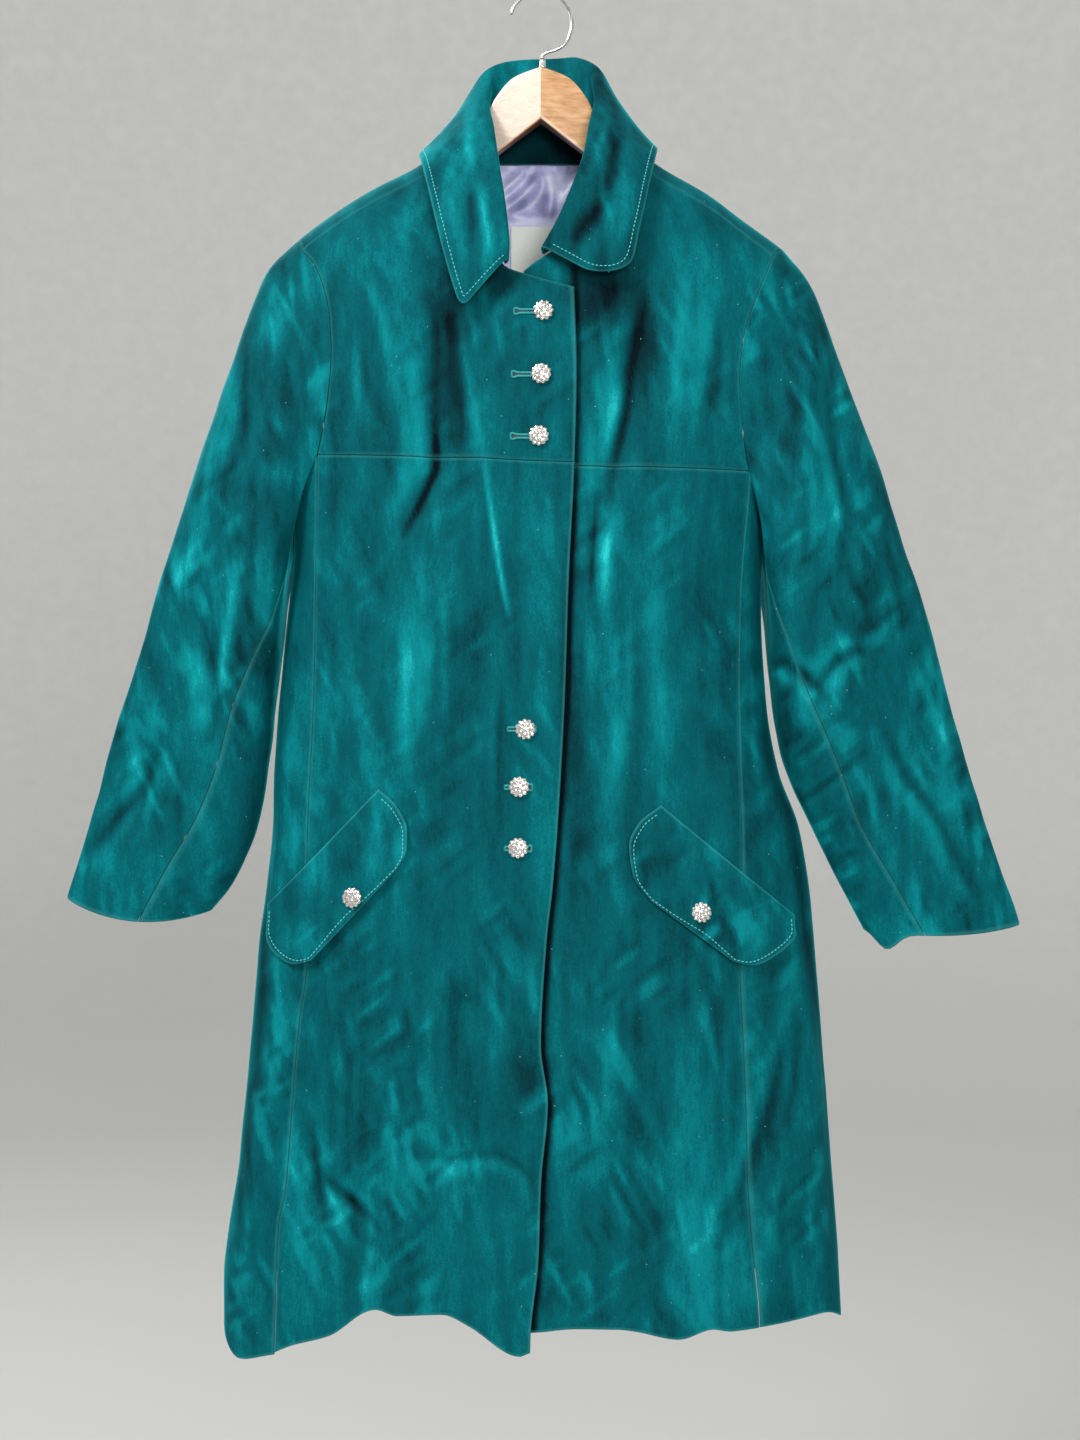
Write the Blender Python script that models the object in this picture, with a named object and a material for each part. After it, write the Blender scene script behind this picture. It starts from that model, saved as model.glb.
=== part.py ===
"""Velvet dress coat on a wooden hanger.

Units in the tables are millimetres. The origin is the inner top of the hook, where a rail holds it.
+Z is up, the coat's front faces -Y, and -X is the wearer's right, whose front laps over.
Every cloth piece is a thin wall: its outer face is laid out point by point, then given thickness.
"""
import math

import bpy
import numpy as np

MM = 0.001

CLOTH = 2.2            # wall of velvet with its backing
COLLAR_CLOTH = 2.4     # collar, made double
FLAP_CLOTH = 2.4
LINING_CLOTH = 1.0
LABEL_CLOTH = 1.0
SEAM = 0.15            # each piece stops this far short of a seam, so two pieces are 0.3 apart
SEAM_SINK = 0.15       # and its seam edge turns in by this much
EDGE_BEVEL = 0.9       # inner corner of a wall is cut back, so walls can meet at an angle
LAY_GAP = 0.3          # between a piece and what it lies on

MID_Y = 6.0            # depth of the shoulder ridge and of the side edges
ROUNDNESS = 2.6        # superellipse power of the body's cross-section
SHOULDER_HEIGHT = 70.0     # the shoulder rounds over within this height below the ridge
SEAM_DROP = 20.0           # the shoulder seam lies this far below the ridge, on the front
SEAM_ANGLE = math.pi - math.asin((SHOULDER_HEIGHT - SEAM_DROP) / SHOULDER_HEIGHT)

UNDERLAP = 45.0        # how far the under front runs below the over front
LAP_STEP = 3.2         # the under front lies this far behind the over front's face
LAP_BLEND = 40.0
EDGE_LIFT = 1.5        # the over front's free edge stands off a little
LIFT_BLEND = 50.0

# z, left edge x, right edge x of the body seen from the front (behind the sleeves at the top)
SIDE_EDGES = np.array([
    (-1260, -286, 272), (-1150, -285, 268), (-1050, -272, 262), (-950, -262, 255), (-850, -254, 246),
    (-800, -248, 241), (-750, -243, 232), (-700, -241, 214), (-640, -236, 203), (-560, -228, 198),
    (-500, -223, 199), (-460, -230, 210), (-420, -240, 226), (-330, -252, 248), (-230, -264, 262),
    (-80, -272, 272)], float)

# z, depth of the front, depth of the back, from MID_Y at the middle of the body
DEPTHS = np.array([
    (-1260, 80, 72), (-1000, 72, 60), (-800, 66, 52), (-600, 64, 46), (-430, 64, 44), (-330, 63, 44),
    (-250, 60, 44), (-80, 52, 42)], float)

# the largest folds: how far they stand out (minus is a trough), half width, z and x of the line, upwards
FRONT_FOLDS = [
    (-5.0, 14, [(-500, -122), (-460, -104), (-427, -93), (-360, -93), (-285, -90)]),
    (4.0, 14, [(-500, -42), (-430, -50), (-380, -60), (-310, -74)]),
    (-5.5, 13, [(-465, 57), (-430, 64), (-385, 74), (-340, 80), (-285, 90)]),
    (3.0, 14, [(-570, 46), (-520, 49), (-468, 58)]),
    (-3.0, 20, [(-1300, -86), (-1150, -84), (-1030, -70), (-940, -78), (-870, -70)]),
    (3.0, 20, [(-1300, -134), (-1150, -130), (-1060, -118), (-970, -122), (-890, -112)]),
    (-3.0, 20, [(-1300, 94), (-1170, 92), (-1090, 82), (-980, 84), (-900, 74)]),
    (3.0, 20, [(-1300, 138), (-1170, 136), (-1100, 130), (-990, 128), (-900, 120)]),
]
BACK_FOLDS = [
    (-4.0, 18, [(-660, -78), (-500, -92), (-430, -86), (-360, -90)]),
    (3.0, 20, [(-780, -46), (-600, -54), (-450, -42), (-370, -48)]),
    (-3.5, 18, [(-690, 72), (-540, 84), (-430, 78), (-360, 84)]),
    (-3.0, 24, [(-1300, -122), (-1010, -128), (-860, -112), (-700, -120)]),
    (3.0, 24, [(-1300, -64), (-930, -78), (-780, -70)]),
    (-3.0, 24, [(-1300, -18), (-980, -6), (-820, -14)]),
    (3.0, 24, [(-1300, 50), (-930, 58), (-760, 46)]),
    (-3.0, 24, [(-1300, 118), (-1040, 108), (-900, 120), (-720, 112)]),
]
FOLD_FADE = 45.0           # a fold runs out over this length at each end

# x, z of the shoulder ridge; it dips under the neck opening
RIDGE = np.array([
    (-270, -256), (-224, -226), (-203, -210), (-172, -189), (-150, -176), (-109, -155), (-70, -125),
    (-40, -100), (0, -88), (40, -100), (70, -125), (102, -153), (151, -182), (182, -205), (209, -224),
    (225, -236), (270, -266)], float)

# z, x of the over front's free edge
FRONT_EDGE = np.array([
    (-1240, -10), (-1186, -9), (-1118, -2), (-1055, 0), (-985, 6), (-936, 0), (-845, 5), (-801, 10),
    (-739, 15), (-628, 21), (-535, 24), (-431, 29), (-350, 31), (-277, 29), (-240, 28)], float)

# z, x of the front princess seams
PRINCESS = {
    "right": np.array([
        (-1240, -235), (-1208, -233), (-1098, -230), (-1066, -224), (-988, -218), (-917, -212), (-873, -206),
        (-777, -206), (-620, -200), (-502, -199), (-421, -197), (-380, -197)], float),
    "left": np.array([
        (-1240, 191), (-1180, 190), (-1093, 182), (-1000, 179), (-922, 176), (-874, 174), (-777, 176),
        (-632, 174), (-543, 176), (-435, 183), (-380, 183)], float),
}

# z, x of the side back seams
BACK_SEAM = {
    "right": np.array([(-1240, -236), (-1170, -232), (-900, -214), (-640, -205), (-500, -200), (-430, -203)],
                      float),
    "left": np.array([(-1240, 208), (-1170, 205), (-900, 190), (-750, 182), (-640, 176), (-500, 176),
                      (-442, 188)], float),
}

# x, z of the two front hems
FRONT_HEM = {
    "right": np.array([
        (-240, -1210), (-218, -1199), (-184, -1188), (-144, -1163), (-125, -1168), (-87, -1168), (-63, -1177),
        (-18, -1202), (-9, -1199), (10, -1199)], float),
    "left": np.array([
        (-70, -1184), (-8, -1183), (31, -1179), (66, -1180), (118, -1189), (148, -1181), (165, -1184),
        (195, -1182)], float),
}

# share of the way round the side panel from front to back, z of its hem
SIDE_HEM = {
    "right": np.array([(0, -1208), (0.2, -1217), (0.35, -1205), (0.5, -1182), (0.75, -1168), (1, -1165)], float),
    "left": np.array([(0, -1182), (0.25, -1177), (0.5, -1189), (0.75, -1176), (1, -1165)], float),
}
BACK_HEM = -1165.0

# x, z of the front armhole seam, from the chest seam up
ARMHOLE_FRONT = {
    "right": np.array([(-197, -421), (-192, -400), (-187, -370), (-184, -332), (-186, -298), (-194, -266),
                       (-205, -246), (-213, -237.5)], float),
    "left": np.array([(183, -435), (179, -415), (176, -390), (174, -358), (177, -322), (187, -289),
                      (199, -260), (207, -242.6)], float),
}
CHEST_SEAM_IN = {"right": -430.0, "left": -432.0}    # z of the chest seam at the free edge
UNDERARM_Z = -500.0

# share of the way up, x of the back armhole seam, over the ridge to the shoulder seam
STRAIGHT_SHARE = 0.4       # up to here the back is upright, from here it goes over the shoulder
RIDGE_SHARE = STRAIGHT_SHARE + (1.0 - STRAIGHT_SHARE) * (math.pi / 2.0) / SEAM_ANGLE
ARMHOLE_BACK = {
    "right": np.array([(0, -203), (0.15, -200), (0.3, -199), (0.4, -200), (0.6, -209), (RIDGE_SHARE, -220),
                       (1, -213)], float),
    "left": np.array([(0, 188), (0.15, 186), (0.3, 186), (0.4, 188), (0.6, 200), (RIDGE_SHARE, 219),
                      (1, 207)], float),
}

# x, z of the front neckline, from the neck point on the shoulder seam to the top of the front edge
NECKLINE = {
    "right": np.array([(-68, -143), (-66, -160), (-60, -184), (-50, -212), (-40, -240), (-33, -257), (-4, -268),
                       (29, -277)], float),
    "left": np.array([(68, -143), (65, -162), (57, -186), (44, -212), (26, -234), (4, -248), (-8, -256),
                      (-15, -262)], float),
}
NECKLINE_COLLAR_ROWS = 6   # rows of NECKLINE that the collar is sewn to
NECK_X = 68.0

# x from the middle, angle over the shoulder where the back panel ends at the neck
BACK_NECK = np.array([(0, 56), (28, 57), (46, 62), (57, 74), (63, 98), (68, math.degrees(SEAM_ANGLE))], float)

# outer x, z; inner x, z; bow; front depth; back depth; share of front seam; share of back seam
SLEEVE = {
    "right": np.array([
        (-224, -226, -224, -500, 36, 45, 40, 0.95, 0.62),
        (-243, -246, -229, -530, 26, 50, 44, 0.94, 0.58),
        (-260, -283, -232, -560, 16, 55, 46, 0.92, 0.6),
        (-279, -338, -235, -600, 8, 55, 45, 0.86, 0.62),
        (-307, -419, -240, -645, 3, 48, 40, 0.78, 0.62),
        (-337, -510, -246, -700, 0, 40, 34, 0.70, 0.62),
        (-359, -584, -254, -745, 0, 33, 28, 0.68, 0.62),
        (-383, -662, -266, -778, 0, 28, 24, 0.66, 0.6),
        (-405, -740, -281, -806, -5, 24, 20, 0.60, 0.58),
        (-428, -814, -298, -826, -14, 20, 16, 0.53, 0.55)], float),
    "left": np.array([
        (224, -236, 199, -500, 36, 45, 40, 0.95, 0.62),
        (243, -262, 203, -540, 26, 50, 44, 0.93, 0.58),
        (257, -298, 205, -590, 16, 55, 46, 0.86, 0.6),
        (277, -355, 209, -640, 8, 55, 45, 0.80, 0.62),
        (304, -425, 216, -682, 3, 48, 40, 0.78, 0.62),
        (331, -510, 228, -716, 0, 40, 34, 0.76, 0.62),
        (353, -578, 240, -742, 0, 33, 28, 0.755, 0.62),
        (378, -672, 254, -772, 0, 28, 24, 0.75, 0.6),
        (404, -755, 271, -806, -2, 24, 20, 0.70, 0.58),
        (432, -838, 291, -842, -7, 20, 16, 0.63, 0.55)], float),
}
SLEEVE_FLATNESS = 0.8
LEFT_CUFF_DIP = 15.0       # the left cuff hangs lower near its inner corner
LEFT_CUFF_DIP_AT = 0.87
LEFT_CUFF_DIP_WIDTH = 0.09

# share along the neck seam; roll x, y, z; outer edge x, y, z; fullness of the roll
COLLAR = np.array([
    (0.000, -31, -67, -257, -69, -68, -300, 5),
    (0.055, -30, -70, -243, -77, -69, -276, 7),
    (0.120, -33, -68, -212, -87, -69, -240, 9),
    (0.190, -39, -56, -172, -95, -62, -206, 11),
    (0.260, -45, -30, -130, -104, -42, -168, 13),
    (0.330, -50, -2, -98, -108, -8, -149, 14),
    (0.400, -50, 24, -66, -94, 32, -134, 14),
    (0.450, -31, 39, -50, -58, 50, -128, 13),
    (0.500, -2, 44, -46, 0, 54, -127, 12),
    (0.550, 28, 39, -46, 56, 50, -127, 13),
    (0.600, 51, 24, -62, 88, 32, -132, 14),
    (0.670, 52, -2, -92, 103, -8, -144, 14),
    (0.740, 46, -30, -126, 100, -38, -162, 13),
    (0.810, 40, -50, -160, 93, -56, -194, 11),
    (0.880, 31, -66, -188, 85, -66, -230, 9),
    (0.945, 17, -70, -222, 79, -68, -257, 7),
    (1.000, 3, -67, -247, 60, -67, -277, 5)], float)
COLLAR_LIFT = 1.1          # the stand starts this far above the neck seam
COLLAR_FALL_GAP = 2.4      # the fall clears the body's face by this much

# ends of the pocket flaps, x, z: the seam end first, round the corner to the lower edge
FLAP_ENDS = {
    "right": (np.array([(-141, -714), (-125, -729), (-116, -749), (-116, -765), (-125, -784)], float),
              np.array([(-241, -818), (-241, -842), (-231, -861), (-215, -868), (-199, -864)], float)),
    "left": (np.array([(104, -728), (84, -744), (76, -763), (79, -787), (95, -811)], float),
             np.array([(222, -826), (222, -842), (207, -858), (184, -868), (166, -864)], float)),
}
FLAP_LIFT = 3.0            # the free edge of a flap stands off this far
FLAP_END_LIFT = 2.0        # and so does its outer end, where the side curves away

# name, x, z, what it sits on
BUTTONS = [
    ("button_1", 2, -298, "over"), ("button_2", 0, -353, "over"), ("button_3", -2, -407, "over"),
    ("button_4", -13.5, -662, "over"), ("button_5", -19, -712, "over"), ("button_6", -20, -765, "over"),
    ("button_flap_right", -164, -808, "flap"), ("button_flap_left", 139, -822, "flap"),
]
# radius, height above the cloth
BUTTON_PROFILE = [(6.5, 0.0), (8.4, 0.9), (8.9, 2.2), (7.6, 4.2), (4.4, 5.6)]
BUTTON_TIP = 6.0
BUTTON_SIDES = 12

# x from the middle, z of the hanger's top edge, up to where the cloth lies on it
HANGER_NECK = np.array([(0, -68), (24, -76), (43, -97), (49, -112), (55, -125), (62, -130), (70, -132)], float)
# x from the middle, z of its lower edge in the neck, a straight inverted V
HANGER_LOW = np.array([(0, -115.7), (46, -148.8), (70, -166)], float)
# x from the middle, height, half thickness, y of the middle
HANGER_SECTION = np.array([(0, 48, 9, 0), (46, 44, 6, 5), (70, 34, 6, MID_Y), (100, 34, 6, MID_Y),
                           (150, 28, 6, MID_Y), (204, 19, 6, MID_Y)], float)
HANGER_END = 204.0
HANGER_GAP = 0.8           # between the hanger's arms and the cloth lying on them
HANGER_ARRIS = 3.0
HANGER_CREST = 1.5         # half width of the flat along the top

WIRE_RADIUS = 1.6
WIRE_SIDES = 8
HOOK_RADIUS = 28.0
HOOK_TIP_ANGLE = 165.0
# x, z of the wire below the hook's bow, down to the ferrule
HOOK_SHANK = [(24.5, -41.5), (18.5, -48.0), (11.0, -51.5), (4.5, -53.5), (1.5, -56.5), (1.5, -59.1)]
FERRULE_RADIUS = 3.1
FERRULE_TOP = -59.5
FERRULE_BASE = -67.3

# half widths at the lower edge, and where the two pieces inside the back neck end
FACING_HALF = 62.0
FACING_NARROW = 16.0
FACING_BASE = -141.0
LINING_HALF = 104.0
LINING_NARROW = 30.0
LINING_TOP = -141.3
LINING_BASE = -330.0
FACING_STEP = 1.6          # the facing and the lining hang this far inside the back's wall
LINING_STEP = 1.8
# x first, x last, z top, z bottom
LABEL_BOX = (-28.0, 17.0, -198.0, -249.0)


def smooth(knots, values, at):
    """Values at `at` on a smooth curve through the table; it never swings past a row."""
    knots = np.asarray(knots, float)
    values = np.asarray(values, float)
    at = np.clip(np.asarray(at, float), knots[0], knots[-1])
    step = np.diff(knots)
    slope = np.diff(values) / step
    tangent = np.empty_like(values)
    tangent[0] = slope[0]
    tangent[-1] = slope[-1]
    before = slope[:-1]
    after = slope[1:]
    same_way = before * after > 0
    total = np.where(same_way, before + after, 1.0)
    tangent[1:-1] = np.where(same_way, 2.0 * before * after / total, 0.0)
    index = np.clip(np.searchsorted(knots, at, side="right") - 1, 0, len(step) - 1)
    t = (at - knots[index]) / step[index]
    return ((2 * t**3 - 3 * t**2 + 1) * values[index]
            + (t**3 - 2 * t**2 + t) * step[index] * tangent[index]
            + (3 * t**2 - 2 * t**3) * values[index + 1]
            + (t**3 - t**2) * step[index] * tangent[index + 1])


def path(points, t):
    """Points at shares t along a table of points, counted by rows."""
    points = np.asarray(points, float)
    rows = np.linspace(0.0, 1.0, len(points))
    return np.stack([smooth(rows, points[:, k], t) for k in range(points.shape[1])], axis=-1)


def mix(a, b, t):
    return a + (b - a) * t


def ease(t):
    t = np.clip(t, 0.0, 1.0)
    return t * t * (3.0 - 2.0 * t)


def body_middle(z):
    left = smooth(SIDE_EDGES[:, 0], SIDE_EDGES[:, 1], z)
    right = smooth(SIDE_EDGES[:, 0], SIDE_EDGES[:, 2], z)
    return (left + right) / 2.0, (right - left) / 2.0


def bulge(x, z):
    """Share of the full depth that the cross-section has at x."""
    middle, half = body_middle(z)
    across = np.clip(np.abs(x - middle) / half, 0.0, 1.0)
    return (1.0 - across**ROUNDNESS)**(1.0 / ROUNDNESS)


def ridge_z(x):
    return smooth(RIDGE[:, 0], RIDGE[:, 1], x)


def shoulder_share(x, z):
    """1 below the shoulder, falling to 0 at the ridge."""
    rise = np.clip((z - ridge_z(x) + SHOULDER_HEIGHT) / SHOULDER_HEIGHT, 0.0, 1.0)
    return np.sqrt(1.0 - rise**2)


def fold_lift(folds, x, z):
    """How far the folds of a table stand out at x, z."""
    total = 0.0
    for depth, half_width, line in folds:
        line = np.array(line, float)
        away = (x - smooth(line[:, 0], line[:, 1], z)) / half_width
        fade = ease((z - line[0, 0]) / FOLD_FADE) * ease((line[-1, 0] - z) / FOLD_FADE)
        total = total + depth * fade * np.exp(-away**2)
    return total


def front_y(x, z):
    depth = smooth(DEPTHS[:, 0], DEPTHS[:, 1], z)
    return MID_Y - depth * bulge(x, z) * shoulder_share(x, z) - fold_lift(FRONT_FOLDS, x, z)


def back_y(x, z):
    depth = smooth(DEPTHS[:, 0], DEPTHS[:, 2], z)
    return MID_Y + depth * bulge(x, z) * shoulder_share(x, z) + fold_lift(BACK_FOLDS, x, z)


def edge_x(z):
    return smooth(FRONT_EDGE[:, 0], FRONT_EDGE[:, 1], z)


def over_y(x, z):
    return front_y(x, z) - EDGE_LIFT * ease((x - edge_x(z) + LIFT_BLEND) / LIFT_BLEND)


def under_y(x, z):
    return front_y(x, z) + LAP_STEP * ease((edge_x(z) + LAP_BLEND - x) / LAP_BLEND)


FACE_Y = {"right": over_y, "left": under_y}
FREE_EDGE_SHIFT = {"right": 0.0, "left": -UNDERLAP}


def front_panel(side, across, up):
    """Lower front: across 0 at the princess seam to 1 at the free edge, up 0 at the hem to 1."""
    u, v = np.meshgrid(across, up)
    seam = PRINCESS[side]
    top_out = ARMHOLE_FRONT[side][0, 1]
    top_in = CHEST_SEAM_IN[side]
    z_top = mix(top_out, top_in, u)
    hem_out = smooth(seam[:, 0], seam[:, 1], np.full_like(u, -1200.0))
    hem_in = edge_x(np.full_like(u, -1190.0)) + FREE_EDGE_SHIFT[side]
    x_hem = mix(hem_out, hem_in, u)
    hem = FRONT_HEM[side]
    z_hem = smooth(hem[:, 0], hem[:, 1], x_hem)
    z = mix(z_hem, z_top, v)
    x_out = smooth(seam[:, 0], seam[:, 1], z)
    x_in = edge_x(z) + FREE_EDGE_SHIFT[side]
    x = mix(x_out, x_in, u)
    return np.stack([x, FACE_Y[side](x, z), z], axis=-1)


def yoke(side, across, up, shoulder_share_of_top):
    """Upper front: across 0 at the armhole to 1 at the free edge, up 0 at the chest seam to 1."""
    low_out = ARMHOLE_FRONT[side][0]
    low_z = CHEST_SEAM_IN[side]
    low_in = np.array([edge_x(low_z) + FREE_EDGE_SHIFT[side], low_z])
    high_out = ARMHOLE_FRONT[side][-1]
    high_in = NECKLINE[side][-1]
    low = mix(low_out[None, :], low_in[None, :], across[:, None])
    outer = path(ARMHOLE_FRONT[side], up)
    inner_z = mix(low_in[1], high_in[1], up)
    inner_x = edge_x(inner_z) + FREE_EDGE_SHIFT[side]
    inner_x = inner_x + (high_in[0] - inner_x[-1]) * up**3
    inner = np.stack([inner_x, inner_z], axis=-1)
    shoulder = shoulder_line(side, np.clip(across / shoulder_share_of_top, 0.0, 1.0))
    along_neck = np.clip((across - shoulder_share_of_top) / (1.0 - shoulder_share_of_top), 0.0, 1.0)
    neck = path(NECKLINE[side], along_neck)
    high = np.where((across <= shoulder_share_of_top)[:, None], shoulder, neck)
    u = across[None, :, None]
    v = up[:, None, None]
    corners = ((1 - u) * (1 - v) * low_out + u * (1 - v) * low_in + (1 - u) * v * high_out + u * v * high_in)
    flat = (1 - v) * low[None] + v * high[None] + (1 - u) * outer[:, None] + u * inner[:, None] - corners
    x = flat[..., 0]
    z = flat[..., 1]
    return np.stack([x, FACE_Y[side](x, z), z], axis=-1)


def shoulder_line(side, t):
    """x, z of the shoulder seam from the armhole to the neck point."""
    x = mix(ARMHOLE_FRONT[side][-1, 0], NECKLINE[side][0, 0], t)
    return np.stack([x, ridge_z(x) - SEAM_DROP], axis=-1)


def ring_angle(x, z):
    middle, half = body_middle(z)
    across = np.clip(np.abs(x - middle) / half, 0.0, 1.0)
    return np.arccos(across**(ROUNDNESS / 2.0))


def ring_point(side, angle, z):
    """Body point at an angle from the side edge: plus towards the front, minus towards the back."""
    middle, half = body_middle(z)
    sign = -1.0 if side == "right" else 1.0
    x = middle + sign * half * np.cos(angle)**(2.0 / ROUNDNESS)
    front = smooth(DEPTHS[:, 0], DEPTHS[:, 1], z)
    back = smooth(DEPTHS[:, 0], DEPTHS[:, 2], z)
    swing = np.abs(np.sin(angle))**(2.0 / ROUNDNESS)
    y = MID_Y + np.where(angle > 0.0, -front, back) * swing
    return np.stack([x, y, z], axis=-1)


def side_panel(side, around, up):
    """Side: around 0 at the princess seam, 0.5 at the side edge, 1 at the back seam."""
    u, v = np.meshgrid(around, up)
    top_front = ARMHOLE_FRONT[side][0, 1]
    top_back = BACK_SEAM[side][-1, 0]
    z_top = smooth([0.0, 0.25, 0.5, 0.75, 1.0],
                   [top_front, mix(top_front, UNDERARM_Z, 0.62), UNDERARM_Z,
                    mix(top_back, UNDERARM_Z, 0.62), top_back], u)
    hem = SIDE_HEM[side]
    z = mix(smooth(hem[:, 0], hem[:, 1], u), z_top, v)
    z_front = mix(hem[0, 1], top_front, v)
    z_back = mix(hem[-1, 1], top_back, v)
    z_seam = np.where(u < 0.5, mix(z_front, z, ease(2.0 * u)), mix(z_back, z, ease(2.0 - 2.0 * u)))
    front_x = smooth(PRINCESS[side][:, 0], PRINCESS[side][:, 1], z_seam)
    back_x = smooth(BACK_SEAM[side][:, 0], BACK_SEAM[side][:, 1], z_seam)
    front_angle = ring_angle(front_x, z)
    back_angle = -ring_angle(back_x, z)
    angle = np.where(u < 0.5, front_angle * (1.0 - 2.0 * u), back_angle * (2.0 * u - 1.0))
    return ring_point(side, angle, z)


def back_lower(across, up):
    """Back below the armholes: across 0 at the wearer's right, up 0 at the hem to 1."""
    u, v = np.meshgrid(across, up)
    z = mix(np.full_like(u, BACK_HEM), mix(BACK_SEAM["right"][-1, 0], BACK_SEAM["left"][-1, 0], u), v)
    x = mix(smooth(BACK_SEAM["right"][:, 0], BACK_SEAM["right"][:, 1], z),
            smooth(BACK_SEAM["left"][:, 0], BACK_SEAM["left"][:, 1], z), u)
    return np.stack([x, back_y(x, z), z], axis=-1)


def back_upper(across, up):
    """Back from the armholes' feet, over the ridge to the shoulder seams and the neck."""
    u, v = np.meshgrid(across, up)
    z_low = mix(BACK_SEAM["right"][-1, 0], BACK_SEAM["left"][-1, 0], u)
    x = mix(smooth(ARMHOLE_BACK["right"][:, 0], ARMHOLE_BACK["right"][:, 1], v),
            smooth(ARMHOLE_BACK["left"][:, 0], ARMHOLE_BACK["left"][:, 1], v), u)
    x_top = mix(ARMHOLE_BACK["right"][-1, 1], ARMHOLE_BACK["left"][-1, 1], u)
    end_angle = np.radians(smooth(BACK_NECK[:, 0], BACK_NECK[:, 1], np.abs(x_top)))
    foot = ridge_z(x) - SHOULDER_HEIGHT
    angle = end_angle * np.clip((v - STRAIGHT_SHARE) / (1.0 - STRAIGHT_SHARE), 0.0, 1.0)
    upright = mix(z_low, foot, np.clip(v / STRAIGHT_SHARE, 0.0, 1.0))
    z = np.where(v < STRAIGHT_SHARE, upright, foot + SHOULDER_HEIGHT * np.sin(angle))
    y = np.where(angle > math.pi / 2.0, front_y(x, z), back_y(x, z))
    return np.stack([x, y, z], axis=-1)


def length_shares(points):
    steps = np.linalg.norm(np.diff(points, axis=0), axis=1)
    total = np.concatenate([[0.0], np.cumsum(steps)])
    return total / total[-1]


def section_point(side, k, share, face):
    """Point of sleeve section k at a share of the way from outer to inner edge, front or back face."""
    row = SLEEVE[side][k]
    outer = row[0:2]
    inner = row[2:4]
    chord = inner - outer
    turn = np.array([-chord[1], chord[0]]) if side == "right" else np.array([chord[1], -chord[0]])
    turn = turn / np.linalg.norm(turn)
    bow = row[4] * 4.0 * share * (1.0 - share)
    flat = outer + chord * share[:, None] + turn * bow[:, None]
    swing = (2.0 * np.sqrt(np.clip(share * (1.0 - share), 0.0, 1.0)))**SLEEVE_FLATNESS
    depth = -row[5] if face == "front" else row[6]
    point = np.stack([flat[:, 0], MID_Y + depth * swing, flat[:, 1]], axis=-1)
    if side == "left" and k == len(SLEEVE[side]) - 1 and face == "front":
        dip = np.exp(-((share - LEFT_CUFF_DIP_AT) / LEFT_CUFF_DIP_WIDTH)**2)
        point[:, 2] -= LEFT_CUFF_DIP * dip
    return point


def turn_share(turn):
    """Share of the way across for a turn of 0 (outer edge) to 1 (inner edge)."""
    return (1.0 - np.cos(math.pi * turn)) / 2.0


def share_turn(share):
    return math.acos(1.0 - 2.0 * share) / math.pi


def sleeve_strip(side, rim, k_values, start, end, face):
    """Strip of a sleeve: the rim points on the armhole, then every section down to the cuff.

    start and end give the turn at each section for the strip's first and last column.
    """
    shares = length_shares(rim)
    columns = [rim]
    for k in range(1, len(SLEEVE[side])):
        turn = mix(start[k], end[k], shares)
        columns.append(section_point(side, k, turn_share(turn), face))
    stack = np.stack(columns)
    knots = np.arange(len(stack), dtype=float)
    rows = np.empty((len(k_values),) + stack.shape[1:])
    for j in range(stack.shape[1]):
        for c in range(3):
            rows[:, j, c] = smooth(knots, stack[:, j, c], k_values)
    return rows


def remove_all():
    for item in list(bpy.data.objects):
        bpy.data.objects.remove(item, do_unlink=True)


def finish(name, colour, roughness, metallic=0.0):
    material = bpy.data.materials.new(name)
    material.use_nodes = True
    shader = material.node_tree.nodes["Principled BSDF"]
    shader.inputs["Base Color"].default_value = (*colour, 1.0)
    shader.inputs["Roughness"].default_value = roughness
    shader.inputs["Metallic"].default_value = metallic
    return material


def add_mesh(name, points, faces, material, shade=True):
    mesh = bpy.data.meshes.new(name)
    mesh.from_pydata([tuple(p * MM) for p in points], [], faces)
    mesh.validate()
    mesh.materials.append(material)
    if shade:
        mesh.polygons.foreach_set("use_smooth", [True] * len(mesh.polygons))
    obj = bpy.data.objects.new(name, mesh)
    bpy.context.collection.objects.link(obj)
    return obj


def grid_normals(grid):
    down = np.gradient(grid, axis=0)
    across = np.gradient(grid, axis=1)
    normal = np.cross(down, across)
    return normal / np.maximum(np.linalg.norm(normal, axis=-1, keepdims=True), 1e-9)


def tube_normals(top, under):
    """Normals of two strips that close to a tube, the same for both along each seam."""
    whole = np.concatenate([under[:, -2:-1], top, under[:, 1:], top[:, 1:2]], axis=1)
    normal = grid_normals(whole)[:, 1:-1]
    columns = top.shape[1]
    return normal[:, :columns], normal[:, columns - 1:]


def pull_in(grid, amount, edges):
    """Move the named edges of a grid into it by the given amount."""
    out = grid.copy()
    for edge in edges:
        if edge == "low":
            line, inner = (0, slice(None)), (1, slice(None))
        elif edge == "high":
            line, inner = (-1, slice(None)), (-2, slice(None))
        elif edge == "first":
            line, inner = (slice(None), 0), (slice(None), 1)
        else:
            line, inner = (slice(None), -1), (slice(None), -2)
        way = grid[inner] - grid[line]
        length = np.maximum(np.linalg.norm(way, axis=-1, keepdims=True), 1e-6)
        out[line] += way / length * np.minimum(amount, 0.4 * length)
    return out


ALL_EDGES = ("low", "high", "first", "last")


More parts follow.
